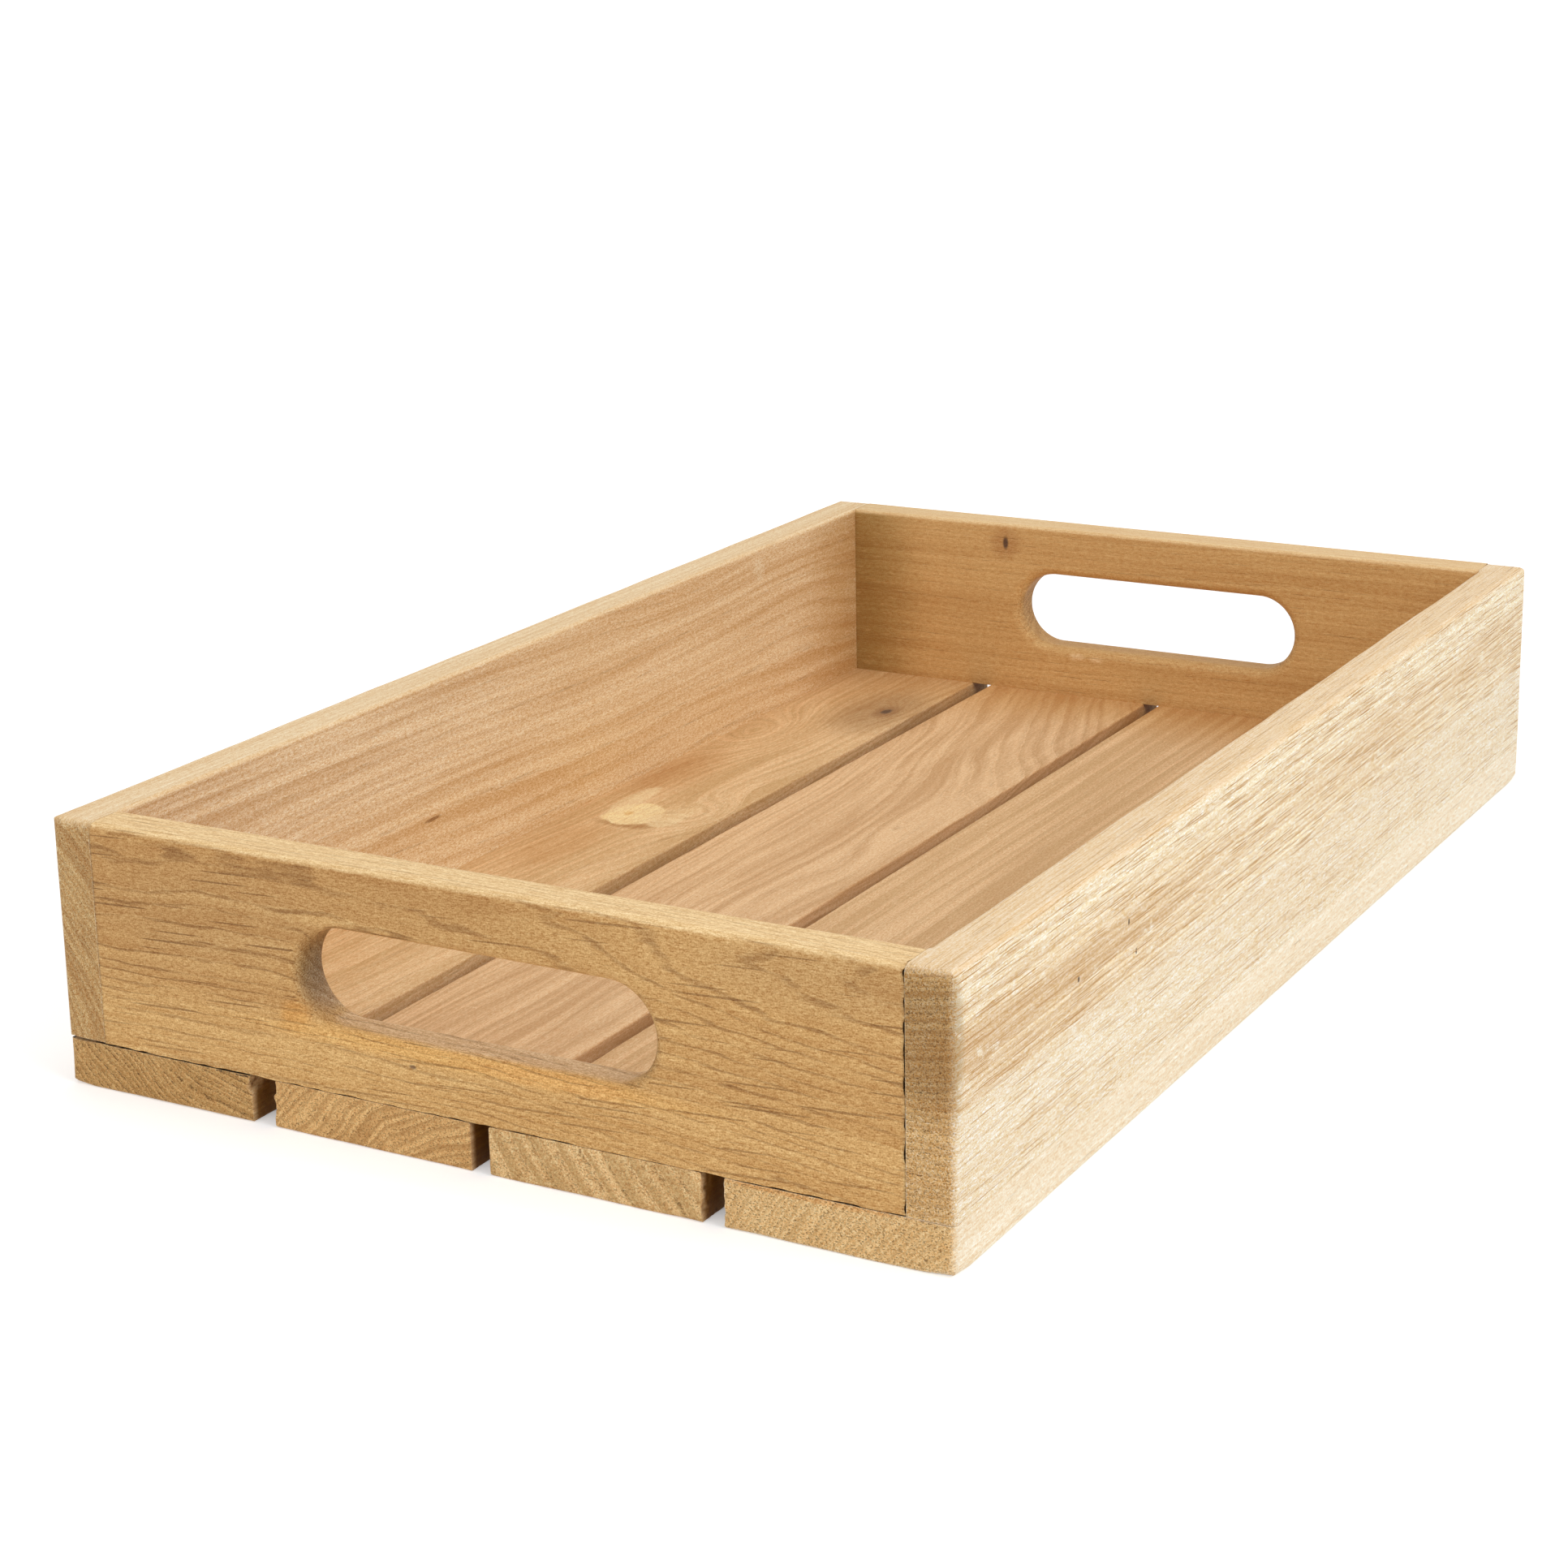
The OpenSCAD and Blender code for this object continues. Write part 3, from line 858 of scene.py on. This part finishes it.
# Per board: how the trunk lies in it, the rings, and the tones (linear colour). Lengths are in mm.
alongX = (0, 0, 0)
alongY = (0, 0, -math.pi / 2)
plainOak = {"turn": alongY, "pith": (0, 0, -60), "taper": 0.0, "taperStart": -300.0, "offset": 0.0,
            "swells": [], "lean": (0, 0, 0), "sway": 4.0, "swaySize": (120, 30, 30), "ripple": 0.5,
            "rippleSize": (26, 7, 7), "ring": 2.4, "uneven": 1.0, "rowWidth": 0.22, "rowPore": 0.38,
            "finePore": 0.12, "poreCell": (13, 0.48, 0.48), "lateShare": 0.4, "rowShare": 0.45,
            "poreShare": 0.7, "rayShare": 0.2, "streakShare": 0.9, "gritShare": 1.1, "dotShare": 0.35,
            "broadSize": (150, 10, 10), "rowTone": 0.55, "poreTone": 0.3, "rayTone": 1.15,
            "toneBase": 0.38, "broadShare": 1.6, "fibreSize": (34, 0.5, 0.5),
            "fleckSize": (2.4, 0.38, 0.38), "ragged": 0.6, "tint": (0.5, 1.0, 1.55), "endLine": 0.5,
            "endLate": 0.2, "gapTone": (0.32, 0.2, 0.05), "darkTint": (0.75, 1.0, 1.4), "bandShare": 1.0,
            "bandSize": (80, 30, 1.6), "dashShare": 0.0, "strength": 1.0, "rimTone": (0.84, 0.6, 0.31),
            "crossTone": (0.85, 0.85, 0.85), "patches": []}
oakBoards = {
    "front_end": {
        "turn": alongX, "pith": (0, -170, 66), "taper": -0.085, "taperStart": 0.0, "offset": -0.3,
        "sway": 1.4, "swaySize": (70, 14, 26), "ripple": 1.1, "rippleSize": (20, 5, 5), "ring": 2.1,
        "lean": (0, 0, -0.05), "rowShare": 0.85, "rowWidth": 0.3, "rowTone": 0.55, "poreShare": 0.45,
        "poreTone": 0.3, "rowPore": 0.36, "finePore": 0.13, "poreCell": (10, 0.55, 0.55), "ragged": 0.3,
        "streakShare": 0.9, "bandShare": 1.0, "dashShare": 0.7, "gritShare": 2.2,
        "fleckSize": (1.5, 0.32, 0.32), "tint": (0.64, 1.0, 1.5), "darkTint": (0.82, 1.0, 1.25),
        "seed": 1.3, "pale": (0.75, 0.45, 0.17), "deep": (0.57, 0.3, 0.1),
        "crossTone": (0.56, 0.62, 0.71), "rimTone": (0.94, 0.67, 0.34),
        "patches": [
            patch((0, -194, 10), (500, 60, 19), (0.84, 0.53, 0.21), 0.75, 0.7, raggedSize=(50, 6, 6),
                  strength=0.5),
            patch((30, -194, 62), (95, 60, 9), (0.62, 0.35, 0.13), 0.55, 0.9, strength=0.6),
            patch((-78, -194, 42), (42, 60, 17), (0.68, 0.4, 0.15), 0.35, 0.9, strength=1.2),
            patch((88, -194, 61), (26, 60, 8), (0.52, 0.3, 0.12), 0.6, 0.8),
            patch((-75, -194, 50), (36, 60, 12), (0.62, 0.37, 0.15), 0.4, 0.9),
            patch((70, -194, 40), (70, 60, 30), (0.74, 0.44, 0.165), 0.6, 1.2, strength=0.75),
            patch((-50, -199, 29), (4, 5, 4), (0.8, 0.38, 0.08), 0.6, 0.9),
            patch((0, -200, 26.4), (56, 5, 2.4), (0.86, 0.5, 0.165), 0.9, 0.9),
            patch((0, -192, 28.2), (56, 6.2, 1.3), (0.82, 0.56, 0.31), 0.85, 0.5, strength=0.6),
            patch((-48, -190, 33), (5, 7, 12), (0.72, 0.52, 0.33), 0.6, 0.9),
            patch((20, -200, 26), (20, 4, 2), (0.84, 0.44, 0.14), 0.4, 0.9, ragged=1.2,
                  raggedSize=(7, 3, 0.8)),
            patch((-17, -200, 22.7), (0.9, 3, 0.45), (0.3, 0.18, 0.09), edge=0.9)]},
    "rear_end": {
        "turn": alongX, "pith": (0, 150, 140), "taper": 0.01, "sway": 2, "ring": 2.2, "rowShare": 0.25,
        "poreShare": 0.5, "seed": 2.9, "pale": (0.72, 0.45, 0.185), "deep": (0.58, 0.32, 0.113),
        "rimTone": (0.86, 0.6, 0.31), "fleckSize": (1.6, 0.45, 0.45), "gritShare": 1.4,
        "patches": [
            # Painted shade in the inner corner by the left board
            patch((-114, 188, 36), (24, 40, 60), (0.37, 0.225, 0.066), 0.85, 1.1),
            patch((-52, 188.5, 61.5), (5, 10, 5), (0.5, 0.25, 0.09), 0.6, 1.0),
            patch((-52, 188.5, 61.5), (0.9, 6, 2), (0.13, 0.07, 0.04), edge=0.9),
            patch((-26, 187, 25.3), (3, 3, 1.2), (0.92, 0.7, 0.4), 0.8, 0.9),
            patch((-19, 187, 25), (2.6, 3, 1), (0.92, 0.7, 0.4), 0.7, 0.9)]},
    "left_side": {
        "pith": (0, 190, -15), "taper": 0.012, "sway": 3, "swaySize": (150, 30, 30), "ring": 2.2,
        "rowShare": 0.2, "poreShare": 0.3, "bandShare": 2.4, "bandSize": (110, 40, 2.0), "lateShare": 0.3,
        "ripple": 0.3, "streakShare": 1.1, "gritShare": 1.9, "fibreSize": (110, 0.8, 0.8),
        "fleckSize": (1.2, 0.4, 0.4), "tint": (0.5, 1.0, 1.75), "seed": 4.1, "pale": (0.9, 0.7, 0.45),
        "deep": (0.68, 0.45, 0.24), "dotShare": 0.25, "rimTone": (0.89, 0.65, 0.37),
        "crossTone": (0.75, 0.615, 0.4),
        "swells": [swell((75, 108, 70), (36, 20, 12), 5.0), swell((150, 108, 45), (40, 20, 14), -4.0)],
        "patches": [
            patch((-40, 108, 12), (160, 60, 26), (0.88, 0.64, 0.35), 0.4, 0.8, raggedSize=(60, 10, 10)),
            patch((90, 108, 40), (120, 60, 60), (0.84, 0.6, 0.33), 0.45, 1.0),
            # Painted shade near the inner corner by the rear board
            patch((195, 108, 35), (34, 60, 60), (0.58, 0.35, 0.13), 0.7, 1.2),
            patch((-62, 108.5, 29.4), (3.5, 3, 0.5), (0.42, 0.25, 0.12), edge=0.9),
            patch((122, 108.5, 61), (3, 3, 3.5), (0.95, 0.82, 0.6), 0.6, 1.0)]},
    "right_side": {
        "pith": (0, -100, 180), "taper": 0.008, "sway": 2, "swaySize": (260, 30, 30), "ring": 1.8,
        "uneven": 1.5, "ripple": 0.2, "rippleSize": (40, 7, 7), "seed": 5.7, "pale": (0.94, 0.84, 0.64),
        "deep": (0.84, 0.66, 0.43), "rowShare": 0.3, "poreShare": 1.0, "poreCell": (24, 0.46, 0.46),
        "finePore": 0.28, "rowPore": 0.43, "rowTone": 0.6, "poreTone": 0.46, "toneBase": 0.3,
        "broadShare": 1.0, "streakShare": 1.5, "fibreSize": (30, 0.4, 0.4), "fleckSize": (1.8, 0.3, 0.3),
        "ragged": 0.4, "bandShare": 1.0, "bandSize": (120, 40, 1.1), "dashShare": 0.5, "strength": 0.8,
        "rimTone": (0.89, 0.65, 0.385), "crossTone": (0.86, 0.645, 0.385), "rayShare": 0.3,
        "rayTone": 1.0, "gritShare": 1.4, "dotShare": 0.6, "endLine": 0.55, "tint": (0.45, 1.0, 2.2),
        "darkTint": (0.55, 1.0, 1.75),
        "patches": [
            patch((0, -114, 236), (3000, 3000, 200), (0.99, 0.88, 0.64), edge=0.012, ragged=0.02,
                  raggedSize=(70, 20, 8), deep=(0.74, 0.51, 0.28), strength=1.9),
            patch((-130, -114, 48), (80, 50, 12), (0.92, 0.72, 0.46), 0.6, 0.8, deep=(0.6, 0.37, 0.17)),
            patch((-200, -114, 52), (4, 50, 15), (0.52, 0.42, 0.28), 0.75, 0.9),
            patch((-138, -119.5, 46), (0.5, 2, 0.7), (0.1, 0.07, 0.05), edge=0.5),
            patch((-110, -119.5, 50.5), (0.4, 2, 0.8), (0.12, 0.08, 0.05), edge=0.5),
            patch((-105.5, -119.5, 42), (0.4, 2, 0.7), (0.12, 0.08, 0.05), edge=0.5)]},
    "slat_1": {
        "pith": (0, 54, 55), "taper": 0.05, "sway": 3, "swaySize": (80, 24, 24), "ring": 1.7,
        "rowShare": 0.15, "poreShare": 0.25, "lateShare": 0.5, "bandShare": 2.2,
        "bandSize": (70, 30, 1.3), "streakShare": 0.7, "gritShare": 1.3, "seed": 7.7,
        "fleckSize": (1.4, 0.45, 0.45), "pale": (0.86, 0.58, 0.31), "deep": (0.66, 0.41, 0.185),
        "crossTone": (0.86, 0.77, 0.55), "dotShare": 0.5, "endLine": 1.2, "rowTone": 0.45,
        "rowWidth": 0.34,
        "swells": [swell((21, 73, 12), (15, 9, 9), 7.0), swell((106, 98, 12), (24, 13, 20), 15.0),
                   swell((145, 75, 12), (10, 6, 7), 5.0)],
        "patches": [
            # Painted shade along the foot of the rear board
            patch((190, 80, 12), (34, 60, 30), (0.62, 0.37, 0.15), 0.7, 1.4),
            patch((55, 100, 12), (24, 9, 10), (0.66, 0.39, 0.17), 0.8, 1.0),
            patch((-22, 94, 12), (22, 8, 10), (0.68, 0.41, 0.18), 0.7, 1.0),
            patch((3.5, 88, 12), (3, 9, 8), (0.52, 0.3, 0.12), 0.8, 0.9),
            patch((13, 90, 12), (10.5, 8.5, 8), (1.0, 0.79, 0.42), 0.95, 0.16, ragged=0.4,
                  raggedSize=(9, 5, 5), deep=(0.9, 0.68, 0.36), strength=0.1),
            patch((12, 79, 12), (7, 5, 8), (0.93, 0.72, 0.41), 0.65, 0.25, ragged=0.4,
                  raggedSize=(9, 5, 5), deep=(0.87, 0.65, 0.36), strength=0.1),
            patch((25, 97.5, 12), (14, 3.6, 8), (0.93, 0.72, 0.41), 0.65, 0.25, ragged=0.3,
                  raggedSize=(9, 5, 5), deep=(0.87, 0.65, 0.36), strength=0.1),
            patch((20, 79, 12), (9, 5, 8), (0.94, 0.72, 0.41), 0.6, 0.8),
            patch((13, 92, 12), (1.8, 1.3, 3), (0.84, 0.54, 0.2), 0.8, 0.9),
            patch((143, 76, 12), (24, 13, 10), (0.48, 0.29, 0.13), 0.8, 1.2),
            patch((144, 74, 12), (7, 3.6, 5), (0.36, 0.19, 0.08), 0.85, 1.0),
            patch((144, 74, 12), (2.8, 1.5, 4), (0.13, 0.08, 0.05), edge=0.8)]},
    "slat_2": {
        "pith": (0, -22, -60), "taper": -0.165, "taperStart": 70.0, "sway": 4, "swaySize": (90, 20, 20),
        "ring": 2.3, "rowShare": 0.15, "poreShare": 0.25, "lateShare": 0.5, "bandShare": 2.4,
        "bandSize": (70, 30, 1.7), "streakShare": 1.1, "seed": 9.2, "fleckSize": (1.4, 0.45, 0.45),
        "pale": (0.86, 0.565, 0.305), "deep": (0.64, 0.375, 0.175), "crossTone": (1.02, 0.97, 0.74),
        "gapTone": (0.26, 0.155, 0.02), "dotShare": 0.55, "swells": [swell((20, 4, 12), (50, 12, 20), 5.0)],
        "patches": [
            # Painted shade along the foot of the rear board
            patch((195, 30, 12), (34, 60, 30), (0.66, 0.38, 0.14), 0.8, 1.4)]},
    "slat_3": {
        "pith": (0, -156, 87), "sway": 2, "swaySize": (220, 24, 24), "ring": 5.4, "rowShare": 0.1,
        "poreShare": 0.2, "lateShare": 0.7, "bandShare": 2.8, "bandSize": (120, 40, 2.4),
        "streakShare": 1.0, "seed": 11.4, "fleckSize": (1.4, 0.45, 0.45), "pale": (0.86, 0.56, 0.295),
        "deep": (0.67, 0.405, 0.185), "crossTone": (1.05, 1.09, 0.98), "dotShare": 0.5, "gritShare": 1.3,
        "endLate": 0.12, "gapTone": (0.26, 0.155, 0.02),
        "patches": [
            # Painted shade along the foot of the rear board
            patch((195, -30, 12), (34, 60, 30), (0.66, 0.38, 0.14), 0.8, 1.4)]},
    "slat_4": {
        "pith": (0, -170, -60), "sway": 2, "swaySize": (220, 24, 24), "ring": 1.6, "rowShare": 0.2,
        "poreShare": 0.4, "seed": 13.8, "pale": (0.98, 0.87, 0.68), "deep": (0.88, 0.72, 0.5),
        "crossTone": (0.95, 0.745, 0.46), "dotShare": 0.7, "tint": (0.45, 1.0, 1.8),
        "patches": [
            patch((0, -86, 12), (600, 25, 1.4), (0.9, 0.63, 0.36), 0.75, 0.6)]},
}

# How the boards are finished. Sanded: how many mm under the rim's top the paler rim, sanded wood with a
# painted sheen, starts, and is full.
oakFinish = {"roughness": 0.62, "specular": 0.3, "bump": 0.4, "bumpHeight": 0.12 * mm, "patchDeep": 0.74,
             "seedSteps": (1, 1.7, 2.3), "sanded": (1.6, 0.4)}


# A darker or lighter tone of a colour: each part scaled by the share raised to its own power
def tinted(colour, share, tint):
    return tuple(c * share ** p for c, p in zip(colour, tint))


def makeOak(name, changes):
    oak = {**plainOak, **changes}
    material, tree, shader = newMaterial("oak_" + name)
    place = millimetres(tree, oak["turn"])
    shared = {"place": place, "seed": tuple(oak["seed"] * step for step in oakFinish["seedSteps"])}
    hills = oak["offset"]
    for hill in oak["swells"]:
        hills = useGroup(tree, grainSwell, shared, hill).swell + hills
    ring = useGroup(tree, ringField, {**shared, "swell": hills}, oak)
    grain = useGroup(tree, oakGrain, {**shared, "field": ring.field, "arc": ring.arc}, oak)
    pale, deep, strength = oak["pale"], oak["deep"], oak["strength"]
    for spot in oak["patches"]:
        share = useGroup(tree, grainPatch, shared, spot).mask * spot["share"]
        pale = share.blend(pale, spot["tone"])
        deep = share.blend(deep, spot["deep"] or tinted(spot["tone"], oakFinish["patchDeep"], oak["tint"]))
        if spot["strength"] is not None:
            strength = share * (spot["strength"] - strength) + strength
    marks = {label: Flow(tree, putNode(tree, "ShaderNodeAttribute", attribute_name=label).outputs["Fac"])
             for label in ("cross", "gap", "seam")}
    underTop = rimTop / mm - place.part("Z")
    colour = useGroup(tree, oakColour, {
        **shared, **vars(grain), **marks, "sanded": underTop.ramp(*oakFinish["sanded"]),
        "strength": strength, "pale": pale, "deep": deep,
        "rowColour": tinted(oak["deep"], oak["rowTone"], oak["darkTint"]),
        "poreColour": tinted(oak["deep"], oak["poreTone"], oak["darkTint"]),
        "rayColour": tinted(oak["pale"], oak["rayTone"], oak["tint"])}, oak)
    fillNode(shader, {"Base Color": colour.colour, "Roughness": oakFinish["roughness"],
                      "Specular IOR Level": oakFinish["specular"],
                      "Normal": bumped(colour.height, oakFinish["bump"], oakFinish["bumpHeight"])})
    return material


# Widths and shares of the painted shade marks: near is the strip along the tray's outline, gap the wall
# between slats, ragged the strip under a slat's front edge, and side the joint at an end board's ends
marking = {
    "nearStart": 4 * mm, "nearOver": 3 * mm, "underWall": 0.3 * mm, "overSlat": 2 * mm,
    "raggedShare": 0.95, "gapStart": 6 * mm, "gapOver": 14 * mm, "gapEdge": 2 * mm, "gapLeast": 0.3,
    "palerOver": 4 * mm, "sideShare": 0.55, "sideWidth": 1.5 * mm,
}


# 1 where a surface faces the way of the given part of its normal, 0 past about 48 degrees from it
def facing(part):
    return np.clip(3 * part - 2, 0, 1)


# Marks each point with how squarely its surface cuts across the grain, how much it lies in the shade
# between two slats, and how deep it lies in a seam between boards; the last two set painted shade
def markBoard(piece, axis, name):
    mesh, size = piece.data, marking
    normals = pointArray(mesh.vertices, "normal")
    points = pointArray(mesh.vertices, "co")
    # Share of painted seam shade on the left half of the tray; the right half gets none
    left = seams["leftShade"] * (points[:, 0] < 0)
    beside = np.abs(points)
    inX, inY = trayHigh[0] - beside[:, 0], trayHigh[1] - beside[:, 1]
    nearX, nearY = (np.clip((size["nearStart"] - inward) / size["nearOver"], 0, 1) for inward in (inX, inY))
    gap = np.zeros(len(points))
    if name.startswith("slat"):
        wear = slatWear[nodeOf[name]]
        low, high = edges(nodeOf[name])
        under = slatTop - points[:, 2]
        joint = facing(normals[:, 2]) * (points[:, 2] > slatTop - size["underWall"])
        seam = joint * np.maximum(np.maximum(nearX, nearY) * left, nearY * (inX > trayHigh[1] - innerY))
        # Painted shade in a strip under the front board's edge, wider towards one side of the slat
        first, last = wear["ragged"]
        ragged = first + (last - first) * np.clip((points[:, 0] - low[0]) / (high[0] - low[0]), 0, 1) ** 2
        strip = np.clip(1 - under / ragged, 0, 1) * facing(-normals[:, 1])
        seam = np.maximum(seam, size["raggedShare"] * strip)
        # Painted shade on the walls between slats near their front ends, less at the very front and at the
        # top
        fromFront = points[:, 1] + trayHigh[1]
        deeper = 1 - np.clip((fromFront - size["gapStart"]) / size["gapOver"], 0, 1)
        edge = np.clip(fromFront / size["gapEdge"], size["gapLeast"], 1)
        paler = wear["paler"] * np.clip(1 - under / size["palerOver"], 0, 1)
        wall = np.clip(2 * np.abs(normals[:, 0]) - 1, 0, 1) * (inX > size["gapEdge"])
        gap = wall * deeper * edge * (1 - paler)
    else:
        # Painted shade along the boards' undersides by the outline, and on the end boards at their ends too
        joint = facing(-normals[:, 2]) * (points[:, 2] < slatTop + size["overSlat"])
        seam = joint * np.maximum(nearX, nearY) * left
        if name.endswith("end"):
            sides = facing(np.abs(normals[:, 0])) * (beside[:, 0] > innerX - size["sideWidth"])
            seam = np.maximum(joint, size["sideShare"] * sides) * nearY
    cross = np.abs(normals[:, axis]) ** 2
    for label, value in (("cross", cross), ("gap", gap), ("seam", seam)):
        mesh.attributes.new(label, "FLOAT", "POINT").data.foreach_set("value", value.astype(np.float32))


for name, oak in oakBoards.items():
    markBoard(boards[name], 0 if oak.get("turn") == alongX else 1, name)
    boards[name].data.materials.append(makeOak(name, oak))
print("oak done")


fixings = {
    "beech": {"kind": "dowels", "pale": (0.78, 0.56, 0.34), "deep": (0.62, 0.40, 0.21),
              "size": (9, 0.5, 0.5), "rough": (0.55, 0.75), "metallic": 0.0, "bump": 0.3},
    "zinc": {"kind": "screws", "pale": (0.70, 0.68, 0.62), "deep": (0.50, 0.49, 0.46),
             "size": (1.2, 1.2, 1.2), "rough": (0.25, 0.5), "metallic": 1.0, "bump": 0.15},
}
fixingWear = {"swing": 1.8, "middle": 0.5, "bumpHeight": 0.05 * mm}


# Worn finish of a dowel or screw: noise blends the pale and deep tones and sets the roughness
def makeFixing(name, look):
    material, tree, shader = newMaterial(name)
    streak = noise(millimetres(tree), look["size"], (0, 0, 0), 3.0, 0.6)
    share = (streak * fixingWear["swing"] + fixingWear["middle"]).clamped()
    smooth, rough = look["rough"]
    fillNode(shader, {"Base Color": share.blend(look["pale"], look["deep"]),
                      "Roughness": share * (rough - smooth) + smooth, "Metallic": look["metallic"],
                      "Normal": bumped(streak, look["bump"], fixingWear["bumpHeight"])})
    return material


for name, look in fixings.items():
    material = makeFixing(name, look)
    for nodeName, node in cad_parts.items():
        if nodeName.endswith(look["kind"]):
            node.data.materials.clear()
            node.data.materials.append(material)
print("fixings done")


# Lights: power in watts, and the size and place of each disk in metres; all point at the middle of the tray
studio = {"world": 0.53, "target": (0, 0, 0.03), "lights": {
    "key": {"power": 8.3, "size": 0.9, "place": (1.3, -0.35, 0.9)},
    "fill": {"power": 3.85, "size": 1.2, "place": (-0.2, -1.6, 0.7)},
    "top": {"power": 4.5, "size": 1.2, "place": (0, 0.2, 1.6)},
}}


# White to the camera, and of the given strength as a light
def makeWorld(strength):
    world = bpy.data.worlds.new("studio")
    bpy.context.scene.world = world
    world.use_nodes = True
    tree = world.node_tree
    level = seenRays(tree) * (1.0 - strength) + strength
    fillNode(tree.nodes["Background"], {"Color": (1, 1, 1), "Strength": level})


def makeLight(name, look):
    lamp = bpy.data.lights.new(name, "AREA")
    lamp.shape = "DISK"
    lamp.size = look["size"]
    lamp.energy = look["power"]
    light = newObject(name, lamp)
    light.location = look["place"]
    aim = Vector(studio["target"]) - Vector(look["place"])
    light.rotation_euler = aim.to_track_quat("-Z", "Y").to_euler()


# Painted shadow: the ground under the tray, which shows only through the gaps, is painted dark; its middle
# and half size in metres.
# The paper glows for the camera alone, near the tray less than far away, so that its shadow stays.
floorLook = {"half": 6.0, "shadowMiddle": (-0.004, 0.0125, 0), "shadowHalf": (0.116, 0.2125, 1),
             "shadowEdge": (1.0, 0.9), "far": (0.3, 1.2), "glowNear": 0.4, "glowMore": 0.6, "tone": 0.9,
             "shadowDarkening": -0.84}


def makeFloor(look):
    half = look["half"]
    points = np.array([[-half, -half, 0], [half, -half, 0], [half, half, 0], [-half, half, 0]])
    floor = newPiece("floor", points, np.array([[0, 1, 2, 3]]), smooth=False)
    material, tree, shader = newMaterial("paper")
    place = objectPlace(tree)
    # Painted shadow on the ground: 1 inside the box round the tray, fading out over its edge
    inward = place - look["shadowMiddle"]
    inward = inward.maths("ABSOLUTE", inward) / look["shadowHalf"]
    across = inward.part("X")
    paintedShadow = across.maths("MAXIMUM", across, inward.part("Y")).ramp(*look["shadowEdge"])
    tone = paintedShadow * look["shadowDarkening"] + look["tone"]
    glow = place.length().ramp(*look["far"]) * look["glowMore"] + look["glowNear"]
    glow = seenRays(tree) * glow * (1.0 - paintedShadow)
    fillNode(shader, {"Base Color": joined(tone, tone, tone), "Roughness": 1.0, "Specular IOR Level": 0.0,
                      "Emission Color": (1, 1, 1), "Emission Strength": glow})
    floor.data.materials.append(material)


# Camera: turned about Z, dropped, and rolled, as a hand-held camera would be. The focal length and the
# upward shift are given in shares of the square frame's side.
frameSide = 1932
viewpoint = {"turn": 29.409, "drop": 15.379, "roll": -1.050, "place": (0.38763, -0.74308, 0.29424),
             "sensor": 36, "focal": 3905.5 / frameSide, "shiftY": -113.5 / frameSide, "clipEnd": 100}


def makeCamera(view):
    camera = bpy.data.cameras.new("camera")
    camera.sensor_width = view["sensor"]
    camera.lens = view["focal"] * view["sensor"]
    camera.shift_y = view["shiftY"]
    camera.clip_end = view["clipEnd"]
    turn, drop, roll = (math.radians(view[k]) for k in ("turn", "drop", "roll"))
    matrix = (Matrix.Translation(view["place"]) @ Matrix.Rotation(turn, 4, "Z")
              @ Matrix.Rotation(math.pi / 2 - drop, 4, "X") @ Matrix.Rotation(roll, 4, "Z"))
    body = newObject("camera", camera)
    body.matrix_world = matrix
    bpy.context.scene.camera = body


makeWorld(studio["world"])
for name, look in studio["lights"].items():
    makeLight(name, look)
makeFloor(floorLook)
makeCamera(viewpoint)
bpy.context.scene.view_settings.view_transform = "Standard"
print("stage done")
